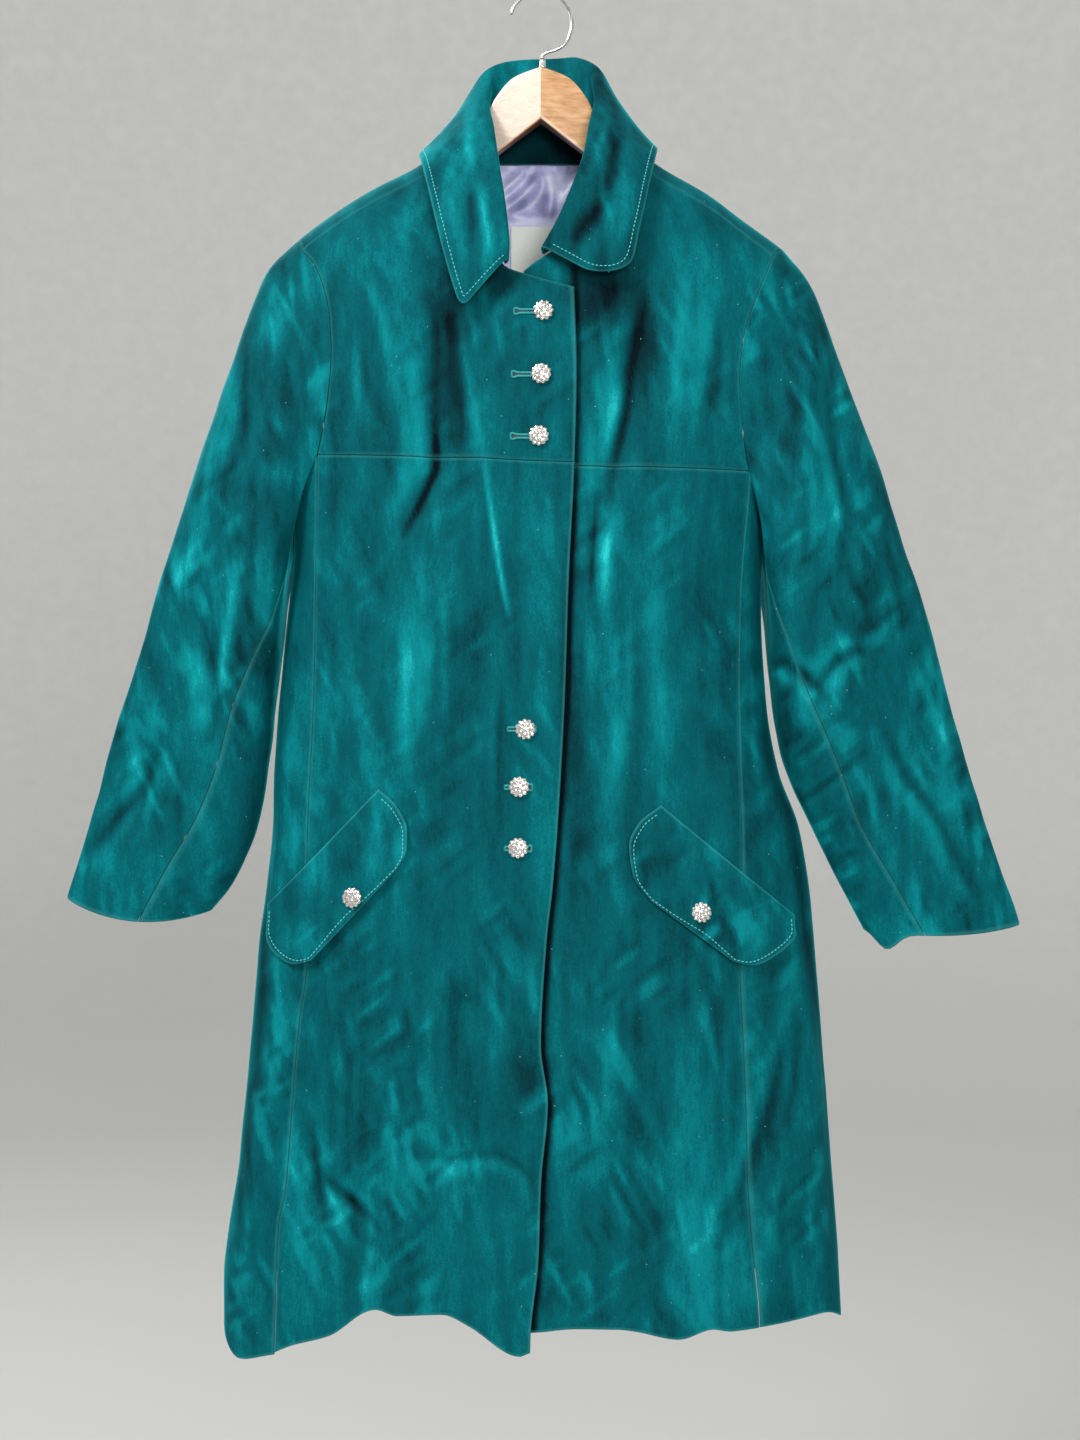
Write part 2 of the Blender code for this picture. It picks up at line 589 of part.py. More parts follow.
def wall(name, grid, thickness, material, seams, outward, normal=None):
    """Closed thin wall. The grid is its outer face; outward is a rough direction out of it."""
    if normal is None:
        normal = grid_normals(grid)
    middle = normal[normal.shape[0] // 2, normal.shape[1] // 2]
    if np.dot(middle, outward) < 0.0:
        grid = grid[:, ::-1]
        normal = -normal[:, ::-1]
        swap = {"first": "last", "last": "first"}
        seams = tuple(swap.get(edge, edge) for edge in seams)
    outer = pull_in(grid, SEAM, seams)
    for edge in seams:
        line = {"low": (0, slice(None)), "high": (-1, slice(None)),
                "first": (slice(None), 0), "last": (slice(None), -1)}[edge]
        outer[line] -= normal[line] * SEAM_SINK
    inner = pull_in(outer - normal * thickness, EDGE_BEVEL, ALL_EDGES)
    rows, columns = grid.shape[:2]
    count = rows * columns
    points = np.concatenate([outer.reshape(-1, 3), inner.reshape(-1, 3)])
    faces = []
    for i in range(rows - 1):
        for j in range(columns - 1):
            a = i * columns + j
            b = a + 1
            c = a + columns + 1
            d = a + columns
            faces.append((a, d, c, b))
            faces.append((count + a, count + b, count + c, count + d))
    rim = [j for j in range(columns)]
    rim += [i * columns + columns - 1 for i in range(1, rows)]
    rim += [(rows - 1) * columns + j for j in range(columns - 2, -1, -1)]
    rim += [i * columns for i in range(rows - 2, 0, -1)]
    for a, b in zip(rim, rim[1:] + rim[:1]):
        faces.append((a, b, count + b, count + a))
    return add_mesh(name, points, faces, material)


FRONT = np.array([0.0, -1.0, 0.0])
REAR = np.array([0.0, 1.0, 0.0])
WAY_OUT = {"right": np.array([-1.0, 0.0, 0.0]), "left": np.array([1.0, 0.0, 0.0])}

BODY_ROWS = np.linspace(0.0, 1.0, 15)
FRONT_COLUMNS = np.linspace(0.0, 1.0, 17)
SIDE_COLUMNS = np.linspace(0.0, 1.0, 9)
YOKE_ROWS = np.linspace(0.0, 1.0, 8)
YOKE_SHOULDER = 0.5
BACK_RISE = np.array([0, 0.13, 0.27, 0.4, 0.5, 0.6, 0.7, RIDGE_SHARE, 0.9, 1.0])
RIDGE_ROW = 7              # row of BACK_RISE that lies on the ridge
BACK_SEAM_ROW = 1          # row of the back armhole where the sleeve's back seam starts
FRONT_SEAM_STEP = 2        # columns from the princess seam to the sleeve's front seam
SLEEVE_ROWS = np.array([0, 0.5, 1, 1.6, 2.3, 3, 4, 5, 6, 7, 8, 9], float)


def back_columns():
    """Shares across the back whose top ends fall on the shoulder seams' and the neck's points."""
    right_end = ARMHOLE_BACK["right"][-1, 1]
    left_end = ARMHOLE_BACK["left"][-1, 1]
    steps = FRONT_COLUMNS[FRONT_COLUMNS <= YOKE_SHOULDER] / YOKE_SHOULDER
    right = mix(right_end, -NECK_X, steps)
    left = mix(left_end, NECK_X, steps)[::-1]
    neck = np.array([-63, -57, -46, -24, 0, 24, 46, 57, 63], float)
    x = np.concatenate([right, neck, left])
    return (x - right_end) / (left_end - right_end)


def body_grids():
    grids = {}
    for side in ("right", "left"):
        grids["yoke_" + side] = yoke(side, FRONT_COLUMNS, YOKE_ROWS, YOKE_SHOULDER)
        grids["front_" + side] = front_panel(side, FRONT_COLUMNS, BODY_ROWS)
        grids["side_" + side] = side_panel(side, SIDE_COLUMNS, BODY_ROWS)
    columns = back_columns()
    grids["back"] = np.concatenate([back_lower(columns, BODY_ROWS), back_upper(columns, BACK_RISE)[1:]])
    return grids


def armhole_rims(side, grids):
    """The armhole in four runs, each starting where the sleeve's turn starts.

    Shoulder to front sleeve seam, on to the underarm, on to the back sleeve seam, back to the shoulder.
    """
    front = grids["yoke_" + side][::-1, 0]
    under = grids["side_" + side][-1]
    back = grids["back"][len(BODY_ROWS) - 1:, 0 if side == "right" else -1]
    half = len(SIDE_COLUMNS) // 2
    loop = np.concatenate([front, under[1:], back[1:]])
    ridge = int(np.argmax(loop[:, 2]))
    start = len(front) - 1
    rising = loop[ridge:]
    ring = np.concatenate([rising, loop[1:ridge + 1]])
    shift = len(rising) - 1
    front_seam = shift + start + FRONT_SEAM_STEP
    underarm = shift + start + half
    back_seam = shift + start + len(SIDE_COLUMNS) - 1 + BACK_SEAM_ROW
    return (ring[:front_seam + 1], ring[front_seam:underarm + 1], ring[underarm:back_seam + 1],
            ring[back_seam:])


def sleeve_grids(side, grids, k_values):
    rims = armhole_rims(side, grids)
    count = len(SLEEVE[side])
    outer = np.zeros(count)
    inner = np.ones(count)
    front_seam = np.array([share_turn(v) for v in SLEEVE[side][:, 7]])
    back_seam = np.array([share_turn(v) for v in SLEEVE[side][:, 8]])
    front_top = sleeve_strip(side, rims[0], k_values, outer, front_seam, "front")
    front_under = sleeve_strip(side, rims[1], k_values, front_seam, inner, "front")
    back_under = sleeve_strip(side, rims[2], k_values, inner, back_seam, "back")
    back_top = sleeve_strip(side, rims[3], k_values, back_seam, outer, "back")
    top = np.concatenate([back_top, front_top[:, 1:]], axis=1)
    under = np.concatenate([front_under, back_under[:, 1:]], axis=1)
    return top, under


def neck_seam(grids):
    """Points of the neck seam from the right front round the back to the left front."""
    share = FRONT_COLUMNS[FRONT_COLUMNS >= YOKE_SHOULDER]
    sewn = (NECKLINE_COLLAR_ROWS - 1) / (len(NECKLINE["right"]) - 1)
    runs = []
    for side in ("right", "left"):
        t = np.linspace(0.0, sewn, len(share) + 2)
        flat = path(NECKLINE[side], t)
        y = FACE_Y[side](flat[:, 0], flat[:, 1])
        runs.append(np.stack([flat[:, 0], y, flat[:, 1]], axis=-1))
    top = grids["back"][-1]
    inside = np.abs(top[:, 0]) < NECK_X - 1.0
    return np.concatenate([runs[0][::-1], top[inside], runs[1]])


def along_line(points, shares):
    known = length_shares(points)
    return np.stack([np.interp(shares, known, points[:, k]) for k in range(3)], axis=-1)


def hermite(a, b, from_way, to_way, t):
    t = t[:, None]
    return ((2 * t**3 - 3 * t**2 + 1) * a + (t**3 - 2 * t**2 + t) * from_way
            + (3 * t**2 - 2 * t**3) * b + (t**3 - t**2) * to_way)


STAND_STEPS = np.linspace(0.0, 1.0, 5)
FALL_STEPS = np.linspace(0.0, 1.0, 6)
COLLAR_STATIONS = np.linspace(0.0, 1.0, 33)


def collar_grid(grids, stations, stand_steps, fall_steps):
    seam = along_line(neck_seam(grids), stations)
    roll = np.stack([smooth(COLLAR[:, 0], COLLAR[:, k], stations) for k in (1, 2, 3)], axis=-1)
    edge = np.stack([smooth(COLLAR[:, 0], COLLAR[:, k], stations) for k in (4, 5, 6)], axis=-1)
    fullness = smooth(COLLAR[:, 0], COLLAR[:, 7], stations)
    lying = front_y(edge[:, 0], edge[:, 2]) - COLLAR_CLOTH - COLLAR_FALL_GAP
    edge[:, 1] = np.where(edge[:, 1] < -30.0, np.minimum(edge[:, 1], lying), edge[:, 1])
    rows = []
    for foot, top, tip, full in zip(seam, roll, edge, fullness):
        out = tip - foot
        out[2] = 0.0
        out = out / np.linalg.norm(out)
        up = top - foot
        up = up / max(np.linalg.norm(up), 1e-6)
        foot = foot - out * COLLAR_CLOTH + up * COLLAR_LIFT
        rise = top - foot
        fall = tip - top
        stand = hermite(foot, top, rise * 0.9, out * full * 1.6, stand_steps)
        cover = hermite(top, tip, out * full * 1.6, fall * 1.0, fall_steps)
        rows.append(np.concatenate([stand, cover[1:]]))
    return np.array(rows)


def flap_grid(side, across, down, gap):
    """Flap points: laid on the body's face, then moved out, more towards the free edge."""
    near, far = FLAP_ENDS[side]
    u, v = np.meshgrid(across, down)
    start = path(near, down)[:, None]
    end = path(far, down)[:, None]
    flat = start + (end - start) * u[..., None]
    x = flat[..., 0]
    z = flat[..., 1]
    face = np.stack([x, front_y(x, z), z], axis=-1)
    step = 0.5
    slope_x = (front_y(x + step, z) - front_y(x - step, z)) / (2.0 * step)
    slope_z = (front_y(x, z + step) - front_y(x, z - step)) / (2.0 * step)
    normal = np.stack([slope_x, -np.ones_like(x), slope_z], axis=-1)
    normal /= np.linalg.norm(normal, axis=-1, keepdims=True)
    rounding = np.abs(2.0 * u - 1.0)**4
    lift = FLAP_LIFT * ease(np.maximum(v, 0.5 * rounding * ease(3.0 * v))) + FLAP_END_LIFT * u**3
    return face + normal * (gap + FLAP_CLOTH + lift)[..., None]


def surface_frame(x, z, face):
    """Point and outward direction of a face given as y of x and z."""
    step = 2.0
    y = float(face(np.array(x), np.array(z)))
    slope_x = float(face(np.array(x + step), np.array(z)) - face(np.array(x - step), np.array(z))) / (2 * step)
    slope_z = float(face(np.array(x), np.array(z + step)) - face(np.array(x), np.array(z - step))) / (2 * step)
    normal = np.array([slope_x, -1.0, slope_z])
    return np.array([x, y, z], float), normal / np.linalg.norm(normal)


def flap_frame(side, x, z):
    """Point and direction out of a flap's face above x, z."""
    across = np.linspace(0.0, 1.0, 41)
    grid = flap_grid(side, across, across, LAY_GAP)
    normal = grid_normals(grid)
    if normal[20, 20, 1] > 0.0:
        normal = -normal
    away = (grid[..., 0] - x)**2 + (grid[..., 2] - z)**2
    at = np.unravel_index(np.argmin(away), away.shape)
    return grid[at], normal[at]


def add_turned(name, base, axis, profile, tip, sides, material):
    """Solid turned about an axis: rings of (radius, height), then a closing point."""
    axis = axis / np.linalg.norm(axis)
    first = np.cross(axis, np.array([0.0, 0.0, 1.0]))
    if np.linalg.norm(first) < 0.1:
        first = np.array([1.0, 0.0, 0.0])
    first = first / np.linalg.norm(first)
    second = np.cross(axis, first)
    turn = np.linspace(0.0, 2.0 * math.pi, sides, endpoint=False)
    points = []
    for radius, height in profile:
        for a in turn:
            points.append(base + axis * height + first * radius * math.cos(a) + second * radius * math.sin(a))
    faces = []
    for r in range(len(profile) - 1):
        for k in range(sides):
            nxt = (k + 1) % sides
            faces.append((r * sides + k, r * sides + nxt, (r + 1) * sides + nxt, (r + 1) * sides + k))
    points.append(base + axis * profile[0][1])
    low = len(points) - 1
    points.append(base + axis * tip)
    high = len(points) - 1
    last = (len(profile) - 1) * sides
    for k in range(sides):
        nxt = (k + 1) % sides
        faces.append((nxt, k, low))
        faces.append((last + k, last + nxt, high))
    return add_mesh(name, np.array(points), faces, material)


def hook_path():
    centre_z = WIRE_RADIUS - HOOK_RADIUS
    points = []
    for degrees in np.linspace(HOOK_TIP_ANGLE, -20.0, 19):
        a = math.radians(degrees)
        points.append((HOOK_RADIUS * math.cos(a), centre_z + HOOK_RADIUS * math.sin(a)))
    points += HOOK_SHANK
    return np.array([(x, 0.0, z) for x, z in points])


def add_wire(name, line, radius, sides, material):
    way = np.gradient(line, axis=0)
    way /= np.linalg.norm(way, axis=1, keepdims=True)
    side_way = np.array([0.0, 1.0, 0.0])
    points = []
    for centre, ahead in zip(line, way):
        other = np.cross(ahead, side_way)
        for k in range(sides):
            a = 2.0 * math.pi * k / sides
            points.append(centre + radius * (side_way * math.cos(a) + other * math.sin(a)))
    faces = []
    for r in range(len(line) - 1):
        for k in range(sides):
            nxt = (k + 1) % sides
            faces.append((r * sides + k, r * sides + nxt, (r + 1) * sides + nxt, (r + 1) * sides + k))
    faces.append(tuple(range(sides - 1, -1, -1)))
    end = (len(line) - 1) * sides
    faces.append(tuple(end + k for k in range(sides)))
    return add_mesh(name, np.array(points), faces, material)


def hanger_top(x, ridge):
    """z of the bar's top: free at the neck, then just below the cloth that lies on it."""
    if abs(x) <= HANGER_NECK[-1, 0]:
        return float(smooth(HANGER_NECK[:, 0], HANGER_NECK[:, 1], abs(x)))
    at = np.interp([x - 1.0, x, x + 1.0], ridge[:, 0], ridge[:, 2])
    slope = (at[2] - at[0]) / 2.0
    return float(at[1] - (CLOTH + HANGER_GAP) * math.hypot(1.0, slope))


def hanger_low(x, top):
    """z of the bar's lower edge."""
    away = abs(x)
    if away <= HANGER_LOW[-1, 0]:
        return float(smooth(HANGER_LOW[:, 0], HANGER_LOW[:, 1], away))
    return top - float(smooth(HANGER_SECTION[:, 0], HANGER_SECTION[:, 1], away))


def add_hanger(name, ridge, material):
    """Bar with a rounded section: high and ridged in the middle, lower towards its ends."""
    neck = np.concatenate([[10.0, 36.0], HANGER_NECK[:, 0]])
    resting = ridge[(np.abs(ridge[:, 0]) > 80.0) & (np.abs(ridge[:, 0]) < HANGER_END - 8.0), 0]
    stations = np.unique(np.concatenate([neck, -neck, resting, [-HANGER_END, HANGER_END]]))
    points = []
    for x in stations:
        away = abs(x)
        thick, middle = (float(smooth(HANGER_SECTION[:, 0], HANGER_SECTION[:, k], away)) for k in (2, 3))
        top = hanger_top(x, ridge)
        low = hanger_low(x, top)
        a = HANGER_ARRIS
        crest = HANGER_CREST
        for y, z in ((-thick, top - a), (-crest, top), (crest, top), (thick, top - a),
                     (thick, low + a), (thick - a, low), (-thick + a, low), (-thick, low + a)):
            points.append((x, middle + y, z))
    sides = 8
    faces = []
    for r in range(len(stations) - 1):
        for k in range(sides):
            nxt = (k + 1) % sides
            faces.append((r * sides + k, (r + 1) * sides + k, (r + 1) * sides + nxt, r * sides + nxt))
    faces.append(tuple(range(sides)))
    end = (len(stations) - 1) * sides
    faces.append(tuple(end + k for k in range(sides - 1, -1, -1)))
    return add_mesh(name, np.array(points), faces, material, shade=False)


def inside_back(half_top, half_low, z_top, z_low, columns, rows, step_in, centre=0.0):
    """Points on the back panel's inner face, moved in by step_in."""
    u, v = np.meshgrid(np.linspace(-1.0, 1.0, columns), np.linspace(0.0, 1.0, rows))
    x = centre + u * mix(half_low, half_top, v)
    z = mix(z_low, z_top(x), v)
    step = 0.5
    slope_x = (back_y(x + step, z) - back_y(x - step, z)) / (2.0 * step)
    slope_z = (back_y(x, z + step) - back_y(x, z - step)) / (2.0 * step)
    inward = np.stack([slope_x, -np.ones_like(x), slope_z], axis=-1)
    inward /= np.linalg.norm(inward, axis=-1, keepdims=True)
    return np.stack([x, back_y(x, z), z], axis=-1) + inward * (CLOTH + step_in)


def neck_top(x):
    """z of the back panel's neck edge."""
    angle = np.radians(smooth(BACK_NECK[:, 0], BACK_NECK[:, 1], np.abs(x)))
    return ridge_z(x) - SHOULDER_HEIGHT * (1.0 - np.sin(angle))


def build():
    remove_all()
    velvet = finish("velvet", (0.003, 0.150, 0.165), 0.75)
    satin = finish("satin", (0.25, 0.27, 0.43), 0.35)
    cream = finish("label_cloth", (0.75, 0.82, 0.78), 0.6)
    stones = finish("rhinestone", (0.78, 0.78, 0.72), 0.15, 0.6)
    wood = finish("wood", (0.70, 0.41, 0.20), 0.4)
    steel = finish("steel", (0.62, 0.62, 0.62), 0.2, 1.0)
    grids = body_grids()
    for side in ("right", "left"):
        wall("yoke_" + side, grids["yoke_" + side], CLOTH, velvet, ("low", "high", "first"), FRONT)
        wall("front_" + side, grids["front_" + side], CLOTH, velvet, ("high", "first"), FRONT)
        wall("side_" + side, grids["side_" + side], CLOTH, velvet, ("high", "first", "last"), WAY_OUT[side])
        top, under = sleeve_grids(side, grids, SLEEVE_ROWS)
        top_out, under_out = tube_normals(top, under)
        edges = ("low", "first", "last")
        wall("sleeve_top_" + side, top, CLOTH, velvet, edges, WAY_OUT[side], top_out)
        wall("sleeve_under_" + side, under, CLOTH, velvet, edges, -WAY_OUT[side], under_out)
        flap = flap_grid(side, np.linspace(0.0, 1.0, 9), np.linspace(0.0, 1.0, 8), LAY_GAP)
        wall("flap_" + side, flap, FLAP_CLOTH, velvet, (), FRONT)
    wall("back", grids["back"], CLOTH, velvet, ("high", "first", "last"), REAR)
    collar = collar_grid(grids, COLLAR_STATIONS, STAND_STEPS, FALL_STEPS)
    wall("collar", collar, COLLAR_CLOTH, velvet, (), FRONT)
    facing = inside_back(FACING_HALF - FACING_NARROW, FACING_HALF, lambda x: neck_top(x) - 1.0, FACING_BASE,
                         9, 4, FACING_STEP)
    wall("neck_facing", facing, LINING_CLOTH, velvet, (), REAR)
    lining = inside_back(LINING_HALF - LINING_NARROW, LINING_HALF, lambda x: LINING_TOP + 0.0 * x,
                         LINING_BASE, 9, 7, LINING_STEP)
    wall("lining", lining, LINING_CLOTH, satin, (), REAR)
    first, last, high, low = LABEL_BOX
    label = inside_back((last - first) / 2.0, (last - first) / 2.0, lambda x: high + 0.0 * x, low, 4, 4,
                        LINING_STEP + LINING_CLOTH + LAY_GAP, (first + last) / 2.0)
    wall("label", label, LABEL_CLOTH, cream, (), REAR)
    for name, x, z, kind in BUTTONS:
        if kind == "over":
            point, normal = surface_frame(x, z, over_y)
        else:
            point, normal = flap_frame(name.rsplit("_", 1)[1], x, z)
        add_turned(name, point + normal * LAY_GAP, normal, BUTTON_PROFILE, BUTTON_TIP, BUTTON_SIDES, stones)
    add_hanger("hanger_wood", grids["back"][len(BODY_ROWS) - 1 + RIDGE_ROW], wood)
    add_turned("hanger_ferrule", np.array([1.5, 0.0, FERRULE_BASE]), np.array([0.0, 0.0, 1.0]),
               [(FERRULE_RADIUS, 0.0), (FERRULE_RADIUS, FERRULE_TOP - FERRULE_BASE)],
               FERRULE_TOP - FERRULE_BASE, BUTTON_SIDES, steel)
    add_wire("hanger_hook", hook_path(), WIRE_RADIUS, WIRE_SIDES, steel)


build()
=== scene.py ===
"""Looks of the velvet dress coat: fine cloth, stones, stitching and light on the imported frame.

Units in the tables are millimetres. -X is the wearer's right, the coat's front faces -Y.
"""

import math

import bpy
import numpy as np
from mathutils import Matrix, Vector


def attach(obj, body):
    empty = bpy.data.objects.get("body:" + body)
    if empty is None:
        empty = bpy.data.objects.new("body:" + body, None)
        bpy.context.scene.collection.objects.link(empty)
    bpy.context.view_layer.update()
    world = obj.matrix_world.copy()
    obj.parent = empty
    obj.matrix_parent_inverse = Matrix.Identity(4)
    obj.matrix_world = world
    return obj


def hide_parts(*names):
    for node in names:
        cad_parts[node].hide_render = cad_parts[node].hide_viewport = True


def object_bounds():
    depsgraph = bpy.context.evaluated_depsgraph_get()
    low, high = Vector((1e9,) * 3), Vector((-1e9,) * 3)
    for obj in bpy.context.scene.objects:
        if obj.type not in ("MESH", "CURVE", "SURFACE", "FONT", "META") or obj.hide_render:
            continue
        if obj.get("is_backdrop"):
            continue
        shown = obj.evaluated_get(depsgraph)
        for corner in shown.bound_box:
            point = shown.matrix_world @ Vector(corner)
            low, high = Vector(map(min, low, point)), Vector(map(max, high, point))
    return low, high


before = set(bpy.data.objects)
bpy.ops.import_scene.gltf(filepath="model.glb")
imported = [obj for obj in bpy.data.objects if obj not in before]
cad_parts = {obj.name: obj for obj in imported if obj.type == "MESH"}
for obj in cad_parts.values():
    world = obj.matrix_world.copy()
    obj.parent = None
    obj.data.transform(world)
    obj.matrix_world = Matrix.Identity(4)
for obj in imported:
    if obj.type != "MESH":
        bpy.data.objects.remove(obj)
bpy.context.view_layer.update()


MM = 0.001

CLOTH = 2.2            # wall of velvet with its backing
COLLAR_CLOTH = 2.4     # collar, made double
FLAP_CLOTH = 2.4
LINING_CLOTH = 1.0
LABEL_CLOTH = 1.0
SEAM = 0.15            # each piece stops this far short of a seam, so two pieces are 0.3 apart
SEAM_SINK = 0.7        # and its seam edge turns in by this much
EDGE_BEVEL = 0.9       # inner corner of a wall is cut back, so walls can meet at an angle
LAY_GAP = 0.3          # between a piece and what it lies on

MID_Y = 6.0            # depth of the shoulder ridge and of the side edges
ROUNDNESS = 2.6        # superellipse power of the body's cross-section
SHOULDER_HEIGHT = 70.0     # the shoulder rounds over within this height below the ridge
SEAM_DROP = 20.0           # the shoulder seam lies this far below the ridge, on the front
SEAM_ANGLE = math.pi - math.asin((SHOULDER_HEIGHT - SEAM_DROP) / SHOULDER_HEIGHT)

UNDERLAP = 45.0        # how far the under front runs below the over front
LAP_STEP = 3.2         # the under front lies this far behind the over front's face
LAP_BLEND = 40.0
EDGE_LIFT = 1.5        # the over front's free edge stands off a little
LIFT_BLEND = 50.0

# z, left edge x, right edge x of the body seen from the front (behind the sleeves at the top)
SIDE_EDGES = np.array([
    (-1260, -286, 272), (-1150, -285, 268), (-1050, -272, 262), (-950, -262, 255), (-850, -254, 246),
    (-800, -248, 241), (-750, -243, 232), (-700, -241, 214), (-640, -236, 203), (-560, -228, 198),
    (-500, -223, 199), (-460, -230, 210), (-420, -240, 226), (-330, -252, 248), (-230, -264, 262),
    (-80, -272, 272)], float)

# z, depth of the front, depth of the back, from MID_Y at the middle of the body
DEPTHS = np.array([
    (-1260, 80, 72), (-1000, 72, 60), (-800, 66, 52), (-600, 64, 46), (-430, 64, 44), (-330, 63, 44),
    (-250, 60, 44), (-80, 52, 42)], float)

# the largest folds: how far they stand out (minus is a trough), half width, z and x of the line, upwards
FRONT_FOLDS = [
    (-5.0, 14, [(-500, -122), (-460, -104), (-427, -93), (-360, -93), (-285, -90)]),
    (4.0, 14, [(-500, -42), (-430, -50), (-380, -60), (-310, -74)]),
    (-5.5, 13, [(-465, 57), (-430, 64), (-385, 74), (-340, 80), (-285, 90)]),
    (3.0, 14, [(-570, 46), (-520, 49), (-468, 58)]),
    (-3.0, 20, [(-1300, -86), (-1150, -84), (-1030, -70), (-940, -78), (-870, -70)]),
    (3.0, 20, [(-1300, -134), (-1150, -130), (-1060, -118), (-970, -122), (-890, -112)]),
    (-3.0, 20, [(-1300, 94), (-1170, 92), (-1090, 82), (-980, 84), (-900, 74)]),
    (3.0, 20, [(-1300, 138), (-1170, 136), (-1100, 130), (-990, 128), (-900, 120)]),
]
BACK_FOLDS = [
    (-4.0, 18, [(-660, -78), (-500, -92), (-430, -86), (-360, -90)]),
    (3.0, 20, [(-780, -46), (-600, -54), (-450, -42), (-370, -48)]),
    (-3.5, 18, [(-690, 72), (-540, 84), (-430, 78), (-360, 84)]),
    (-3.0, 24, [(-1300, -122), (-1010, -128), (-860, -112), (-700, -120)]),
    (3.0, 24, [(-1300, -64), (-930, -78), (-780, -70)]),
    (-3.0, 24, [(-1300, -18), (-980, -6), (-820, -14)]),
    (3.0, 24, [(-1300, 50), (-930, 58), (-760, 46)]),
    (-3.0, 24, [(-1300, 118), (-1040, 108), (-900, 120), (-720, 112)]),
]
FOLD_FADE = 45.0           # a fold runs out over this length at each end

# x, z of the shoulder ridge; it dips under the neck opening
RIDGE = np.array([
    (-270, -256), (-224, -226), (-203, -210), (-172, -189), (-150, -176), (-109, -155), (-70, -125),
    (-40, -100), (0, -88), (40, -100), (70, -125), (102, -153), (151, -182), (182, -205), (209, -224),
    (225, -236), (270, -266)], float)

# z, x of the over front's free edge
FRONT_EDGE = np.array([
    (-1240, -10), (-1186, -9), (-1118, -2), (-1055, 0), (-985, 6), (-936, 0), (-845, 5), (-801, 10),
    (-739, 15), (-628, 21), (-535, 24), (-431, 29), (-350, 31), (-277, 29), (-240, 28)], float)

# z, x of the front princess seams
PRINCESS = {
    "right": np.array([
        (-1240, -235), (-1208, -233), (-1098, -230), (-1066, -224), (-988, -218), (-917, -212), (-873, -206),
        (-777, -206), (-620, -200), (-502, -199), (-421, -197), (-380, -197)], float),
    "left": np.array([
        (-1240, 191), (-1180, 190), (-1093, 182), (-1000, 179), (-922, 176), (-874, 174), (-777, 176),
        (-632, 174), (-543, 176), (-435, 183), (-380, 183)], float),
}

# z, x of the side back seams
BACK_SEAM = {
    "right": np.array([(-1240, -236), (-1170, -232), (-900, -214), (-640, -205), (-500, -200), (-430, -203)],
                      float),
    "left": np.array([(-1240, 208), (-1170, 205), (-900, 190), (-750, 182), (-640, 176), (-500, 176),
                      (-442, 188)], float),
}

# x, z of the two front hems
FRONT_HEM = {
    "right": np.array([
        (-240, -1210), (-218, -1199), (-184, -1188), (-144, -1163), (-125, -1168), (-87, -1168), (-63, -1177),
        (-18, -1202), (-9, -1199), (10, -1199)], float),
    "left": np.array([
        (-70, -1184), (-8, -1183), (31, -1179), (66, -1180), (118, -1189), (148, -1181), (165, -1184),
        (195, -1182)], float),
}

# share of the way round the side panel from front to back, z of its hem
SIDE_HEM = {
    "right": np.array([(0, -1208), (0.2, -1217), (0.35, -1205), (0.5, -1182), (0.75, -1168),
                       (1, -1165)], float),
    "left": np.array([(0, -1182), (0.25, -1177), (0.5, -1189), (0.75, -1176), (1, -1165)], float),
}
BACK_HEM = -1165.0

# x, z of the front armhole seam, from the chest seam up
ARMHOLE_FRONT = {
    "right": np.array([(-197, -421), (-192, -400), (-187, -370), (-184, -332), (-186, -298), (-194, -266),
                       (-205, -246), (-213, -237.5)], float),
    "left": np.array([(183, -435), (179, -415), (176, -390), (174, -358), (177, -322), (187, -289),
                      (199, -260), (207, -242.6)], float),
}
CHEST_SEAM_IN = {"right": -430.0, "left": -432.0}    # z of the chest seam at the free edge
UNDERARM_Z = -500.0

# share of the way up, x of the back armhole seam, over the ridge to the shoulder seam
STRAIGHT_SHARE = 0.4       # up to here the back is upright, from here it goes over the shoulder
RIDGE_SHARE = STRAIGHT_SHARE + (1.0 - STRAIGHT_SHARE) * (math.pi / 2.0) / SEAM_ANGLE
ARMHOLE_BACK = {
    "right": np.array([(0, -203), (0.15, -200), (0.3, -199), (0.4, -200), (0.6, -209), (RIDGE_SHARE, -220),
                       (1, -213)], float),
    "left": np.array([(0, 188), (0.15, 186), (0.3, 186), (0.4, 188), (0.6, 200), (RIDGE_SHARE, 219),
                      (1, 207)], float),
}

# x, z of the front neckline, from the neck point on the shoulder seam to the top of the front edge
NECKLINE = {
    "right": np.array([(-68, -143), (-66, -160), (-60, -184), (-50, -212), (-40, -240), (-33, -257),
                       (-4, -268), (29, -277)], float),
    "left": np.array([(68, -143), (65, -162), (57, -186), (44, -212), (26, -234), (4, -248), (-8, -256),
                      (-15, -262)], float),
}
NECKLINE_COLLAR_ROWS = 6   # rows of NECKLINE that the collar is sewn to
NECK_X = 68.0

# x from the middle, angle over the shoulder where the back panel ends at the neck
BACK_NECK = np.array([(0, 56), (28, 57), (46, 62), (57, 74), (63, 98), (68, math.degrees(SEAM_ANGLE))], float)

